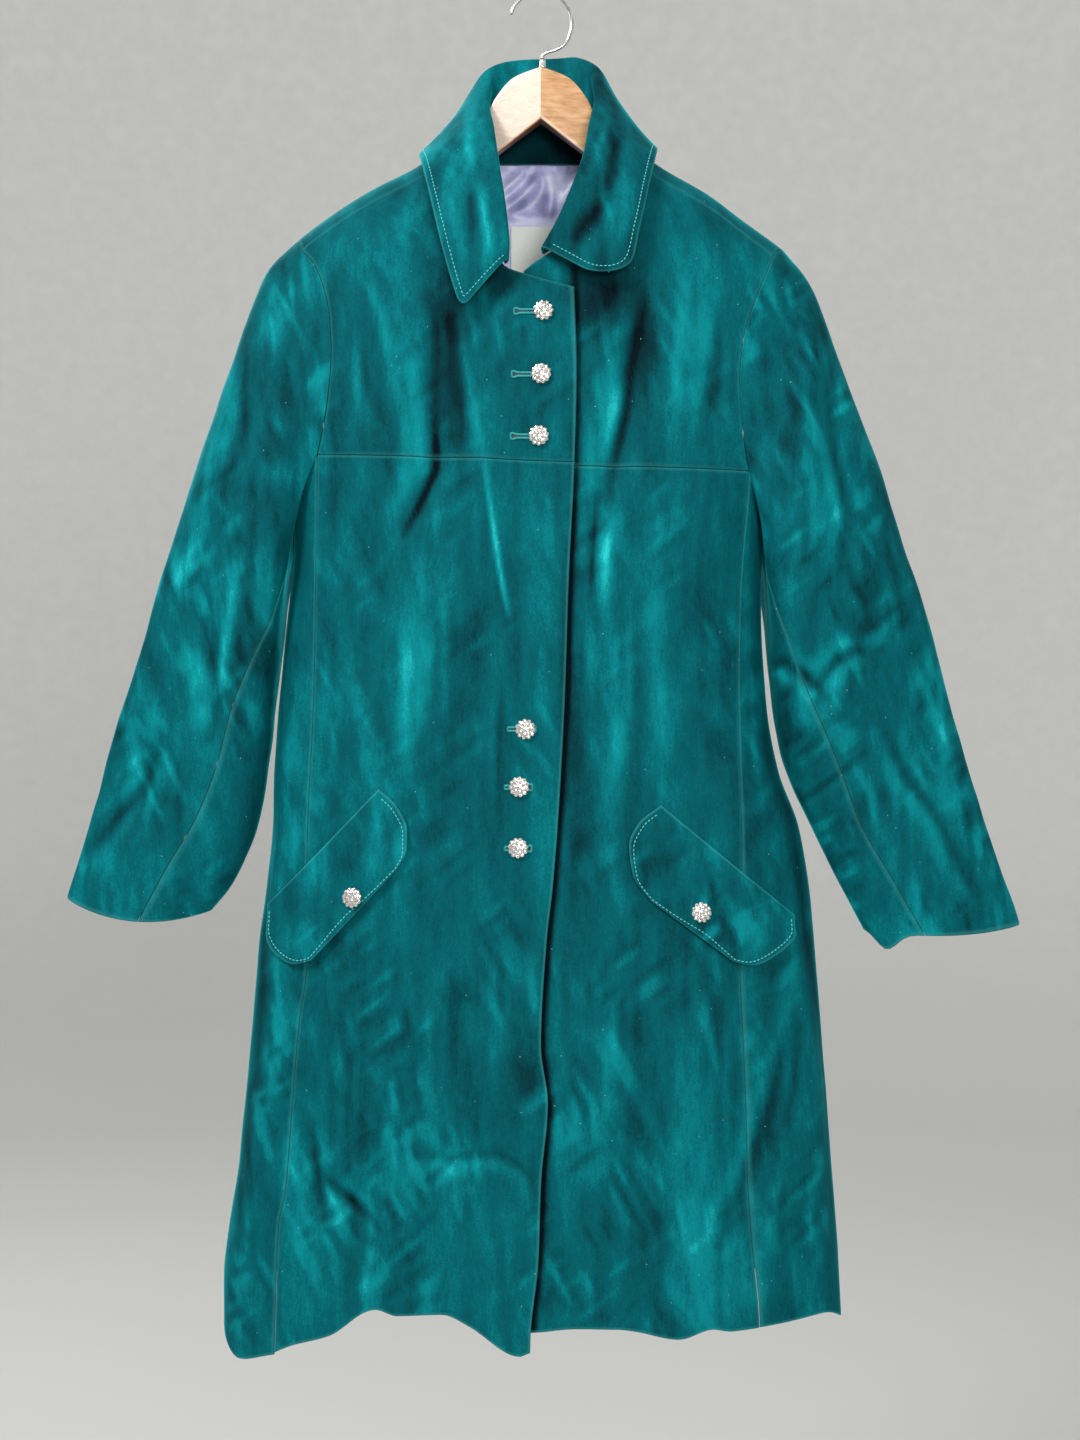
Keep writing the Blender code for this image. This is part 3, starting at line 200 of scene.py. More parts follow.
# outer x, z; inner x, z; bow; front depth; back depth; share of front seam; share of back seam
SLEEVE = {
    "right": np.array([
        (-224, -226, -224, -500, 36, 45, 40, 0.95, 0.62),
        (-243, -246, -229, -530, 26, 50, 44, 0.94, 0.58),
        (-260, -283, -232, -560, 16, 55, 46, 0.92, 0.6),
        (-279, -338, -235, -600, 8, 55, 45, 0.86, 0.62),
        (-307, -419, -240, -645, 3, 48, 40, 0.78, 0.62),
        (-337, -510, -246, -700, 0, 40, 34, 0.70, 0.62),
        (-359, -584, -254, -745, 0, 33, 28, 0.68, 0.62),
        (-383, -662, -266, -778, 0, 28, 24, 0.66, 0.6),
        (-405, -740, -281, -806, -5, 24, 20, 0.60, 0.58),
        (-428, -814, -298, -826, -14, 20, 16, 0.53, 0.55)], float),
    "left": np.array([
        (224, -236, 199, -500, 36, 45, 40, 0.95, 0.62),
        (243, -262, 203, -540, 26, 50, 44, 0.93, 0.58),
        (257, -298, 205, -590, 16, 55, 46, 0.86, 0.6),
        (277, -355, 209, -640, 8, 55, 45, 0.80, 0.62),
        (304, -425, 216, -682, 3, 48, 40, 0.78, 0.62),
        (331, -510, 228, -716, 0, 40, 34, 0.76, 0.62),
        (353, -578, 240, -742, 0, 33, 28, 0.755, 0.62),
        (378, -672, 254, -772, 0, 28, 24, 0.75, 0.6),
        (404, -755, 271, -806, -2, 24, 20, 0.70, 0.58),
        (432, -838, 291, -842, -7, 20, 16, 0.63, 0.55)], float),
}
SLEEVE_FLATNESS = 0.8
LEFT_CUFF_DIP = 15.0       # the left cuff hangs lower near its inner corner
LEFT_CUFF_DIP_AT = 0.87
LEFT_CUFF_DIP_WIDTH = 0.09

# share along the neck seam; roll x, y, z; outer edge x, y, z; fullness of the roll
COLLAR = np.array([
    (0.000, -31, -67, -257, -69, -68, -300, 5),
    (0.055, -30, -70, -243, -77, -69, -276, 7),
    (0.120, -33, -68, -212, -87, -69, -240, 9),
    (0.190, -39, -56, -172, -95, -62, -206, 11),
    (0.260, -45, -30, -130, -104, -42, -168, 13),
    (0.330, -50, -2, -98, -108, -8, -149, 14),
    (0.400, -50, 24, -66, -94, 32, -134, 14),
    (0.450, -31, 39, -50, -58, 50, -128, 13),
    (0.500, -2, 44, -46, 0, 54, -127, 12),
    (0.550, 28, 39, -46, 56, 50, -127, 13),
    (0.600, 51, 24, -62, 88, 32, -132, 14),
    (0.670, 52, -2, -92, 103, -8, -144, 14),
    (0.740, 46, -30, -126, 100, -38, -162, 13),
    (0.810, 40, -50, -160, 93, -56, -194, 11),
    (0.880, 31, -66, -188, 85, -66, -230, 9),
    (0.945, 17, -70, -222, 79, -68, -257, 7),
    (1.000, 3, -67, -247, 60, -67, -277, 5)], float)
COLLAR_LIFT = 1.1          # the stand starts this far above the neck seam
COLLAR_FALL_GAP = 2.4      # the fall clears the body's face by this much

# ends of the pocket flaps, x, z: the seam end first, round the corner to the lower edge
FLAP_ENDS = {
    "right": (np.array([(-141, -714), (-125, -729), (-116, -749), (-116, -765), (-125, -784)], float),
              np.array([(-241, -818), (-241, -842), (-231, -861), (-215, -868), (-199, -864)], float)),
    "left": (np.array([(104, -728), (84, -744), (76, -763), (79, -787), (95, -811)], float),
             np.array([(222, -826), (222, -842), (207, -858), (184, -868), (166, -864)], float)),
}
FLAP_LIFT = 3.0            # the free edge of a flap stands off this far
FLAP_END_LIFT = 2.0        # and so does its outer end, where the side curves away

# name, x, z, what it sits on
BUTTONS = [
    ("button_1", 2, -298, "over"), ("button_2", 0, -353, "over"), ("button_3", -2, -407, "over"),
    ("button_4", -13.5, -662, "over"), ("button_5", -19, -712, "over"), ("button_6", -20, -765, "over"),
    ("button_flap_right", -164, -808, "flap"), ("button_flap_left", 139, -822, "flap"),
]

# x from the middle, z of the hanger's top edge, up to where the cloth lies on it
HANGER_NECK = np.array([(0, -68), (24, -76), (43, -97), (49, -112), (55, -125), (62, -130),
                        (70, -132)], float)
# x from the middle, z of its lower edge in the neck, a straight inverted V
HANGER_LOW = np.array([(0, -115.7), (46, -148.8), (70, -166)], float)
# x from the middle, height, half thickness, y of the middle
HANGER_SECTION = np.array([(0, 48, 9, 0), (46, 44, 6, 5), (70, 34, 6, MID_Y), (100, 34, 6, MID_Y),
                           (150, 28, 6, MID_Y), (204, 19, 6, MID_Y)], float)
HANGER_END = 204.0
HANGER_GAP = 0.8           # between the hanger's arms and the cloth lying on them

WIRE_RADIUS = 1.6
HOOK_RADIUS = 28.0
HOOK_TIP_ANGLE = 165.0
# x, z of the wire below the hook's bow, down to the ferrule
HOOK_SHANK = [(24.5, -41.5), (18.5, -48.0), (11.0, -51.5), (4.5, -53.5), (1.5, -56.5), (1.5, -59.1)]
FERRULE_BASE = -67.3

# half widths at the lower edge, and where the two pieces inside the back neck end
FACING_HALF = 62.0
FACING_NARROW = 16.0
FACING_BASE = -141.0
LINING_HALF = 104.0
LINING_NARROW = 30.0
LINING_TOP = -141.3
LINING_BASE = -330.0
FACING_STEP = 1.6          # the facing and the lining hang this far inside the back's wall
LINING_STEP = 1.8
# x first, x last, z top, z bottom
LABEL_BOX = (-28.0, 17.0, -198.0, -249.0)


def smooth(knots, values, at):
    """Values at `at` on a smooth curve through the table; it never swings past a row."""
    knots = np.asarray(knots, float)
    values = np.asarray(values, float)
    at = np.clip(np.asarray(at, float), knots[0], knots[-1])
    step = np.diff(knots)
    slope = np.diff(values) / step
    tangent = np.empty_like(values)
    tangent[0] = slope[0]
    tangent[-1] = slope[-1]
    before = slope[:-1]
    after = slope[1:]
    same_way = before * after > 0
    total = np.where(same_way, before + after, 1.0)
    tangent[1:-1] = np.where(same_way, 2.0 * before * after / total, 0.0)
    index = np.clip(np.searchsorted(knots, at, side="right") - 1, 0, len(step) - 1)
    t = (at - knots[index]) / step[index]
    return ((2 * t**3 - 3 * t**2 + 1) * values[index]
            + (t**3 - 2 * t**2 + t) * step[index] * tangent[index]
            + (3 * t**2 - 2 * t**3) * values[index + 1]
            + (t**3 - t**2) * step[index] * tangent[index + 1])


def column(table, k, at):
    """Column k of a table at values of its first column."""
    return smooth(table[:, 0], table[:, k], at)


def path(points, t):
    """Points at shares t along a table of points, counted by rows."""
    points = np.asarray(points, float)
    rows = np.linspace(0.0, 1.0, len(points))
    return np.stack([smooth(rows, points[:, k], t) for k in range(points.shape[1])], axis=-1)


def mix(a, b, t):
    return a + (b - a) * t


def ease(t):
    t = np.clip(t, 0.0, 1.0)
    return t * t * (3.0 - 2.0 * t)


def body_middle(z):
    left = column(SIDE_EDGES, 1, z)
    right = column(SIDE_EDGES, 2, z)
    return (left + right) / 2.0, (right - left) / 2.0


def bulge(x, z):
    """Share of the full depth that the cross-section has at x."""
    middle, half = body_middle(z)
    across = np.clip(np.abs(x - middle) / half, 0.0, 1.0)
    return (1.0 - across**ROUNDNESS)**(1.0 / ROUNDNESS)


def face_points(x, z, face, step=0.5):
    """Points of a face given as y of x and z, and the directions square to it that point to the front."""
    slope_x = (face(x + step, z) - face(x - step, z)) / (2.0 * step)
    slope_z = (face(x, z + step) - face(x, z - step)) / (2.0 * step)
    normal = np.stack([slope_x, -np.ones_like(x), slope_z], axis=-1)
    normal /= np.linalg.norm(normal, axis=-1, keepdims=True)
    return np.stack([x, face(x, z), z], axis=-1), normal


def ridge_z(x):
    return column(RIDGE, 1, x)


def shoulder_share(x, z):
    """1 below the shoulder, falling to 0 at the ridge."""
    rise = np.clip((z - ridge_z(x) + SHOULDER_HEIGHT) / SHOULDER_HEIGHT, 0.0, 1.0)
    return np.sqrt(1.0 - rise**2)


def fold_lift(folds, x, z):
    """How far the folds of a table stand out at x, z."""
    total = 0.0
    for depth, half_width, line in folds:
        line = np.array(line, float)
        away = (x - column(line, 1, z)) / half_width
        fade = ease((z - line[0, 0]) / FOLD_FADE) * ease((line[-1, 0] - z) / FOLD_FADE)
        total = total + depth * fade * np.exp(-away**2)
    return total


def front_y(x, z):
    depth = column(DEPTHS, 1, z)
    return MID_Y - depth * bulge(x, z) * shoulder_share(x, z) - fold_lift(FRONT_FOLDS, x, z)


def back_y(x, z):
    depth = column(DEPTHS, 2, z)
    return MID_Y + depth * bulge(x, z) * shoulder_share(x, z) + fold_lift(BACK_FOLDS, x, z)


def edge_x(z):
    return column(FRONT_EDGE, 1, z)


def over_y(x, z):
    return front_y(x, z) - EDGE_LIFT * ease((x - edge_x(z) + LIFT_BLEND) / LIFT_BLEND)


def under_y(x, z):
    return front_y(x, z) + LAP_STEP * ease((edge_x(z) + LAP_BLEND - x) / LAP_BLEND)


FACE_Y = {"right": over_y, "left": under_y}
FREE_EDGE_SHIFT = {"right": 0.0, "left": -UNDERLAP}


def front_panel(side, across, up):
    """Lower front: across 0 at the princess seam to 1 at the free edge, up 0 at the hem to 1."""
    u, v = np.meshgrid(across, up)
    seam = PRINCESS[side]
    top_out = ARMHOLE_FRONT[side][0, 1]
    top_in = CHEST_SEAM_IN[side]
    z_top = mix(top_out, top_in, u)
    hem_out = column(seam, 1, np.full_like(u, -1200.0))
    hem_in = edge_x(np.full_like(u, -1190.0)) + FREE_EDGE_SHIFT[side]
    x_hem = mix(hem_out, hem_in, u)
    hem = FRONT_HEM[side]
    z_hem = column(hem, 1, x_hem)
    z = mix(z_hem, z_top, v)
    x_out = column(seam, 1, z)
    x_in = edge_x(z) + FREE_EDGE_SHIFT[side]
    x = mix(x_out, x_in, u)
    return np.stack([x, FACE_Y[side](x, z), z], axis=-1)


def yoke(side, across, up, shoulder_share_of_top):
    """Upper front: across 0 at the armhole to 1 at the free edge, up 0 at the chest seam to 1."""
    low_out = ARMHOLE_FRONT[side][0]
    low_z = CHEST_SEAM_IN[side]
    low_in = np.array([edge_x(low_z) + FREE_EDGE_SHIFT[side], low_z])
    high_out = ARMHOLE_FRONT[side][-1]
    high_in = NECKLINE[side][-1]
    low = mix(low_out[None, :], low_in[None, :], across[:, None])
    outer = path(ARMHOLE_FRONT[side], up)
    inner_z = mix(low_in[1], high_in[1], up)
    inner_x = edge_x(inner_z) + FREE_EDGE_SHIFT[side]
    inner_x = inner_x + (high_in[0] - inner_x[-1]) * up**3
    inner = np.stack([inner_x, inner_z], axis=-1)
    shoulder = shoulder_line(side, np.clip(across / shoulder_share_of_top, 0.0, 1.0))
    along_neck = np.clip((across - shoulder_share_of_top) / (1.0 - shoulder_share_of_top), 0.0, 1.0)
    neck = path(NECKLINE[side], along_neck)
    high = np.where((across <= shoulder_share_of_top)[:, None], shoulder, neck)
    u = across[None, :, None]
    v = up[:, None, None]
    corners = ((1 - u) * (1 - v) * low_out + u * (1 - v) * low_in + (1 - u) * v * high_out + u * v * high_in)
    flat = (1 - v) * low[None] + v * high[None] + (1 - u) * outer[:, None] + u * inner[:, None] - corners
    x = flat[..., 0]
    z = flat[..., 1]
    return np.stack([x, FACE_Y[side](x, z), z], axis=-1)


def shoulder_line(side, t):
    """x, z of the shoulder seam from the armhole to the neck point."""
    x = mix(ARMHOLE_FRONT[side][-1, 0], NECKLINE[side][0, 0], t)
    return np.stack([x, ridge_z(x) - SEAM_DROP], axis=-1)


def ring_angle(x, z):
    middle, half = body_middle(z)
    across = np.clip(np.abs(x - middle) / half, 0.0, 1.0)
    return np.arccos(across**(ROUNDNESS / 2.0))


def ring_point(side, angle, z):
    """Body point at an angle from the side edge: plus towards the front, minus towards the back."""
    middle, half = body_middle(z)
    sign = -1.0 if side == "right" else 1.0
    x = middle + sign * half * np.cos(angle)**(2.0 / ROUNDNESS)
    front = column(DEPTHS, 1, z)
    back = column(DEPTHS, 2, z)
    swing = np.abs(np.sin(angle))**(2.0 / ROUNDNESS)
    y = MID_Y + np.where(angle > 0.0, -front, back) * swing
    return np.stack([x, y, z], axis=-1)


def side_panel(side, around, up):
    """Side: around 0 at the princess seam, 0.5 at the side edge, 1 at the back seam."""
    u, v = np.meshgrid(around, up)
    top_front = ARMHOLE_FRONT[side][0, 1]
    top_back = BACK_SEAM[side][-1, 0]
    z_top = smooth([0.0, 0.25, 0.5, 0.75, 1.0],
                   [top_front, mix(top_front, UNDERARM_Z, 0.62), UNDERARM_Z,
                    mix(top_back, UNDERARM_Z, 0.62), top_back], u)
    hem = SIDE_HEM[side]
    z = mix(column(hem, 1, u), z_top, v)
    z_front = mix(hem[0, 1], top_front, v)
    z_back = mix(hem[-1, 1], top_back, v)
    z_seam = np.where(u < 0.5, mix(z_front, z, ease(2.0 * u)), mix(z_back, z, ease(2.0 - 2.0 * u)))
    front_x = column(PRINCESS[side], 1, z_seam)
    back_x = column(BACK_SEAM[side], 1, z_seam)
    front_angle = ring_angle(front_x, z)
    back_angle = -ring_angle(back_x, z)
    angle = np.where(u < 0.5, front_angle * (1.0 - 2.0 * u), back_angle * (2.0 * u - 1.0))
    return ring_point(side, angle, z)


def back_lower(across, up):
    """Back below the armholes: across 0 at the wearer's right, up 0 at the hem to 1."""
    u, v = np.meshgrid(across, up)
    z = mix(np.full_like(u, BACK_HEM), mix(BACK_SEAM["right"][-1, 0], BACK_SEAM["left"][-1, 0], u), v)
    x = mix(column(BACK_SEAM["right"], 1, z),
            column(BACK_SEAM["left"], 1, z), u)
    return np.stack([x, back_y(x, z), z], axis=-1)


def back_upper(across, up):
    """Back from the armholes' feet, over the ridge to the shoulder seams and the neck."""
    u, v = np.meshgrid(across, up)
    z_low = mix(BACK_SEAM["right"][-1, 0], BACK_SEAM["left"][-1, 0], u)
    x = mix(column(ARMHOLE_BACK["right"], 1, v),
            column(ARMHOLE_BACK["left"], 1, v), u)
    x_top = mix(ARMHOLE_BACK["right"][-1, 1], ARMHOLE_BACK["left"][-1, 1], u)
    end_angle = np.radians(column(BACK_NECK, 1, np.abs(x_top)))
    foot = ridge_z(x) - SHOULDER_HEIGHT
    angle = end_angle * np.clip((v - STRAIGHT_SHARE) / (1.0 - STRAIGHT_SHARE), 0.0, 1.0)
    upright = mix(z_low, foot, np.clip(v / STRAIGHT_SHARE, 0.0, 1.0))
    z = np.where(v < STRAIGHT_SHARE, upright, foot + SHOULDER_HEIGHT * np.sin(angle))
    y = np.where(angle > math.pi / 2.0, front_y(x, z), back_y(x, z))
    return np.stack([x, y, z], axis=-1)


def length_shares(points):
    steps = np.linalg.norm(np.diff(points, axis=0), axis=1)
    total = np.concatenate([[0.0], np.cumsum(steps)])
    return total / total[-1]


def section_point(side, k, share, face):
    """Point of sleeve section k at a share of the way from outer to inner edge, front or back face."""
    row = SLEEVE[side][k]
    outer = row[0:2]
    inner = row[2:4]
    chord = inner - outer
    turn = np.array([-chord[1], chord[0]]) if side == "right" else np.array([chord[1], -chord[0]])
    turn = turn / np.linalg.norm(turn)
    bow = row[4] * 4.0 * share * (1.0 - share)
    flat = outer + chord * share[:, None] + turn * bow[:, None]
    swing = (2.0 * np.sqrt(np.clip(share * (1.0 - share), 0.0, 1.0)))**SLEEVE_FLATNESS
    depth = -row[5] if face == "front" else row[6]
    point = np.stack([flat[:, 0], MID_Y + depth * swing, flat[:, 1]], axis=-1)
    if side == "left" and k == len(SLEEVE[side]) - 1 and face == "front":
        dip = np.exp(-((share - LEFT_CUFF_DIP_AT) / LEFT_CUFF_DIP_WIDTH)**2)
        point[:, 2] -= LEFT_CUFF_DIP * dip
    return point


def turn_share(turn):
    """Share of the way across for a turn of 0 (outer edge) to 1 (inner edge)."""
    return (1.0 - np.cos(math.pi * turn)) / 2.0


def share_turn(share):
    return math.acos(1.0 - 2.0 * share) / math.pi


def sleeve_strip(side, rim, k_values, start, end, face):
    """Strip of a sleeve: the rim points on the armhole, then every section down to the cuff.

    start and end give the turn at each section for the strip's first and last column.
    """
    shares = length_shares(rim)
    columns = [rim]
    for k in range(1, len(SLEEVE[side])):
        turn = mix(start[k], end[k], shares)
        columns.append(section_point(side, k, turn_share(turn), face))
    stack = np.stack(columns)
    knots = np.arange(len(stack), dtype=float)
    rows = np.empty((len(k_values),) + stack.shape[1:])
    for j in range(stack.shape[1]):
        for c in range(3):
            rows[:, j, c] = smooth(knots, stack[:, j, c], k_values)
    return rows


def grid_normals(grid):
    down = np.gradient(grid, axis=0)
    across = np.gradient(grid, axis=1)
    normal = np.cross(down, across)
    return normal / np.maximum(np.linalg.norm(normal, axis=-1, keepdims=True), 1e-9)


def tube_normals(top, under):
    """Normals of two strips that close to a tube, the same for both along each seam."""
    whole = np.concatenate([under[:, -2:-1], top, under[:, 1:], top[:, 1:2]], axis=1)
    normal = grid_normals(whole)[:, 1:-1]
    columns = top.shape[1]
    return normal[:, :columns], normal[:, columns - 1:]


FRONT = np.array([0.0, -1.0, 0.0])
REAR = np.array([0.0, 1.0, 0.0])
WAY_OUT = {"right": np.array([-1.0, 0.0, 0.0]), "left": np.array([1.0, 0.0, 0.0])}


def body_grids():
    grids = {}
    for side in ("right", "left"):
        grids["yoke_" + side] = yoke(side, FRONT_COLUMNS, YOKE_ROWS, YOKE_SHOULDER)
        grids["front_" + side] = front_panel(side, FRONT_COLUMNS, BODY_ROWS)
        grids["side_" + side] = side_panel(side, SIDE_COLUMNS, BODY_ROWS)
    grids["back"] = np.concatenate([back_lower(BACK_COLUMNS, BODY_ROWS),
                                    back_upper(BACK_COLUMNS, BACK_RISE)[1:]])
    return grids


def armhole_rims(side, grids):
    """The armhole in four runs, each starting where the sleeve's turn starts.

    Shoulder to front sleeve seam, on to the underarm, on to the back sleeve seam, back to the shoulder.
    """
    front = grids["yoke_" + side][::-1, 0]
    under = grids["side_" + side][-1]
    back = grids["back"][len(BODY_ROWS) - 1:, 0 if side == "right" else -1]
    half = len(SIDE_COLUMNS) // 2
    loop = np.concatenate([front, under[1:], back[1:]])
    ridge = int(np.argmax(loop[:, 2]))
    start = len(front) - 1
    rising = loop[ridge:]
    ring = np.concatenate([rising, loop[1:ridge + 1]])
    shift = len(rising) - 1
    front_seam = shift + start + FRONT_SEAM_STEP
    underarm = shift + start + half
    back_seam = shift + start + len(SIDE_COLUMNS) - 1 + BACK_SEAM_ROW
    return (ring[:front_seam + 1], ring[front_seam:underarm + 1], ring[underarm:back_seam + 1],
            ring[back_seam:])


def sleeve_grids(side, grids, k_values):
    rims = armhole_rims(side, grids)
    count = len(SLEEVE[side])
    outer = np.zeros(count)
    inner = np.ones(count)
    front_seam = np.array([share_turn(v) for v in SLEEVE[side][:, 7]])
    back_seam = np.array([share_turn(v) for v in SLEEVE[side][:, 8]])
    front_top = sleeve_strip(side, rims[0], k_values, outer, front_seam, "front")
    front_under = sleeve_strip(side, rims[1], k_values, front_seam, inner, "front")
    back_under = sleeve_strip(side, rims[2], k_values, inner, back_seam, "back")
    back_top = sleeve_strip(side, rims[3], k_values, back_seam, outer, "back")
    top = np.concatenate([back_top, front_top[:, 1:]], axis=1)
    under = np.concatenate([front_under, back_under[:, 1:]], axis=1)
    return top, under


def neck_seam(grids):
    """Points of the neck seam from the right front round the back to the left front."""
    share = FRONT_COLUMNS[FRONT_COLUMNS >= YOKE_SHOULDER]
    sewn = (NECKLINE_COLLAR_ROWS - 1) / (len(NECKLINE["right"]) - 1)
    runs = []
    for side in ("right", "left"):
        t = np.linspace(0.0, sewn, len(share) + 2)
        flat = path(NECKLINE[side], t)
        y = FACE_Y[side](flat[:, 0], flat[:, 1])
        runs.append(np.stack([flat[:, 0], y, flat[:, 1]], axis=-1))
    top = grids["back"][-1]
    inside = np.abs(top[:, 0]) < NECK_X - 1.0
    return np.concatenate([runs[0][::-1], top[inside], runs[1]])


def along_line(points, shares):
    known = length_shares(points)
    return np.stack([np.interp(shares, known, points[:, k]) for k in range(3)], axis=-1)


def hermite(a, b, from_way, to_way, t):
    t = t[:, None]
    return ((2 * t**3 - 3 * t**2 + 1) * a + (t**3 - 2 * t**2 + t) * from_way
            + (3 * t**2 - 2 * t**3) * b + (t**3 - t**2) * to_way)


def collar_grid(grids, stations, stand_steps, fall_steps):
    seam = along_line(neck_seam(grids), stations)
    roll = np.stack([column(COLLAR, k, stations) for k in (1, 2, 3)], axis=-1)
    edge = np.stack([column(COLLAR, k, stations) for k in (4, 5, 6)], axis=-1)
    fullness = column(COLLAR, 7, stations)
    lying = front_y(edge[:, 0], edge[:, 2]) - COLLAR_CLOTH - COLLAR_FALL_GAP
    edge[:, 1] = np.where(edge[:, 1] < -30.0, np.minimum(edge[:, 1], lying), edge[:, 1])
    rows = []
    for foot, top, tip, full in zip(seam, roll, edge, fullness):
        out = tip - foot
        out[2] = 0.0
        out = out / np.linalg.norm(out)
        up = top - foot
        up = up / max(np.linalg.norm(up), 1e-6)
        foot = foot - out * COLLAR_CLOTH + up * COLLAR_LIFT
        rise = top - foot
        fall = tip - top
        stand = hermite(foot, top, rise * 0.9, out * full * 1.6, stand_steps)
        cover = hermite(top, tip, out * full * 1.6, fall * 1.0, fall_steps)
        rows.append(np.concatenate([stand, cover[1:]]))
    return np.array(rows)


def flap_grid(side, across, down):
    """Flap points: laid on the body's face, then moved out, more towards the free edge."""
    near, far = FLAP_ENDS[side]
    u, v = np.meshgrid(across, down)
    start = path(near, down)[:, None]
    end = path(far, down)[:, None]
    flat = start + (end - start) * u[..., None]
    face, normal = face_points(flat[..., 0], flat[..., 1], front_y)
    rounding = np.abs(2.0 * u - 1.0)**4
    lift = FLAP_LIFT * ease(np.maximum(v, 0.5 * rounding * ease(3.0 * v))) + FLAP_END_LIFT * u**3
    return face + normal * (LAY_GAP + FLAP_CLOTH + lift)[..., None]


def hook_path():
    centre_z = WIRE_RADIUS - HOOK_RADIUS
    points = []
    for degrees in np.linspace(HOOK_TIP_ANGLE, -20.0, 19):
        a = math.radians(degrees)
        points.append((HOOK_RADIUS * math.cos(a), centre_z + HOOK_RADIUS * math.sin(a)))
    points += HOOK_SHANK
    return np.array([(x, 0.0, z) for x, z in points])


def hanger_top(x, ridge):
    """z of the bar's top: free at the neck, then just below the cloth that lies on it."""
    if abs(x) <= HANGER_NECK[-1, 0]:
        return float(column(HANGER_NECK, 1, abs(x)))
    at = np.interp([x - 1.0, x, x + 1.0], ridge[:, 0], ridge[:, 2])
    slope = (at[2] - at[0]) / 2.0
    return float(at[1] - (CLOTH + HANGER_GAP) * math.hypot(1.0, slope))


def hanger_low(x, top):
    """z of the bar's lower edge."""
    away = abs(x)
    if away <= HANGER_LOW[-1, 0]:
        return float(column(HANGER_LOW, 1, away))
    return top - float(column(HANGER_SECTION, 1, away))


def inside_back(half_top, half_low, z_top, z_low, columns, rows, step_in, centre=0.0):
    """Points on the back panel's inner face, moved in by step_in."""
    u, v = np.meshgrid(np.linspace(-1.0, 1.0, columns), np.linspace(0.0, 1.0, rows))
    x = centre + u * mix(half_low, half_top, v)
    z = mix(z_low, z_top(x), v)
    face, inward = face_points(x, z, back_y)
    return face + inward * (CLOTH + step_in)


def neck_top(x):
    """z of the back panel's neck edge."""
    angle = np.radians(column(BACK_NECK, 1, np.abs(x)))
    return ridge_z(x) - SHOULDER_HEIGHT * (1.0 - np.sin(angle))


# rows and columns of the cloth
BODY_ROWS = np.linspace(0.0, 1.0, 14 * 18 + 1)
FRONT_COLUMNS = np.linspace(0.0, 1.0, 80 + 1)
SIDE_COLUMNS = np.linspace(0.0, 1.0, 56 + 1)
YOKE_ROWS = np.linspace(0.0, 1.0, 56 + 1)
YOKE_SHOULDER = 0.5
RISE_STEPS = 10
RISE_KNOTS = np.array([0, 0.13, 0.27, 0.4, 0.5, 0.6, 0.7, RIDGE_SHARE, 0.9, 1.0])
BACK_RISE = np.interp(np.arange(9 * RISE_STEPS + 1) / RISE_STEPS, np.arange(10), RISE_KNOTS)
RIDGE_ROW = 7 * RISE_STEPS
BACK_SEAM_ROW = RISE_STEPS
FRONT_SEAM_STEP = 14
SLEEVE_KNOTS = np.array([0, 0.5, 1, 1.6, 2.3, 3, 4, 5, 6, 7, 8, 9], float)
SLEEVE_ROWS = np.interp(np.arange(11 * 16 + 1) / 16.0, np.arange(12), SLEEVE_KNOTS)
STAND_STEPS = np.linspace(0.0, 1.0, 17)
FALL_STEPS = np.linspace(0.0, 1.0, 33)
COLLAR_STATIONS = np.linspace(0.0, 1.0, 257)
BACK_COLUMNS = np.linspace(0.0, 1.0, 127)
FLAP_ROWS = np.linspace(0.0, 1.0, 41)
FLAP_COLUMNS = np.linspace(0.0, 1.0, 65)


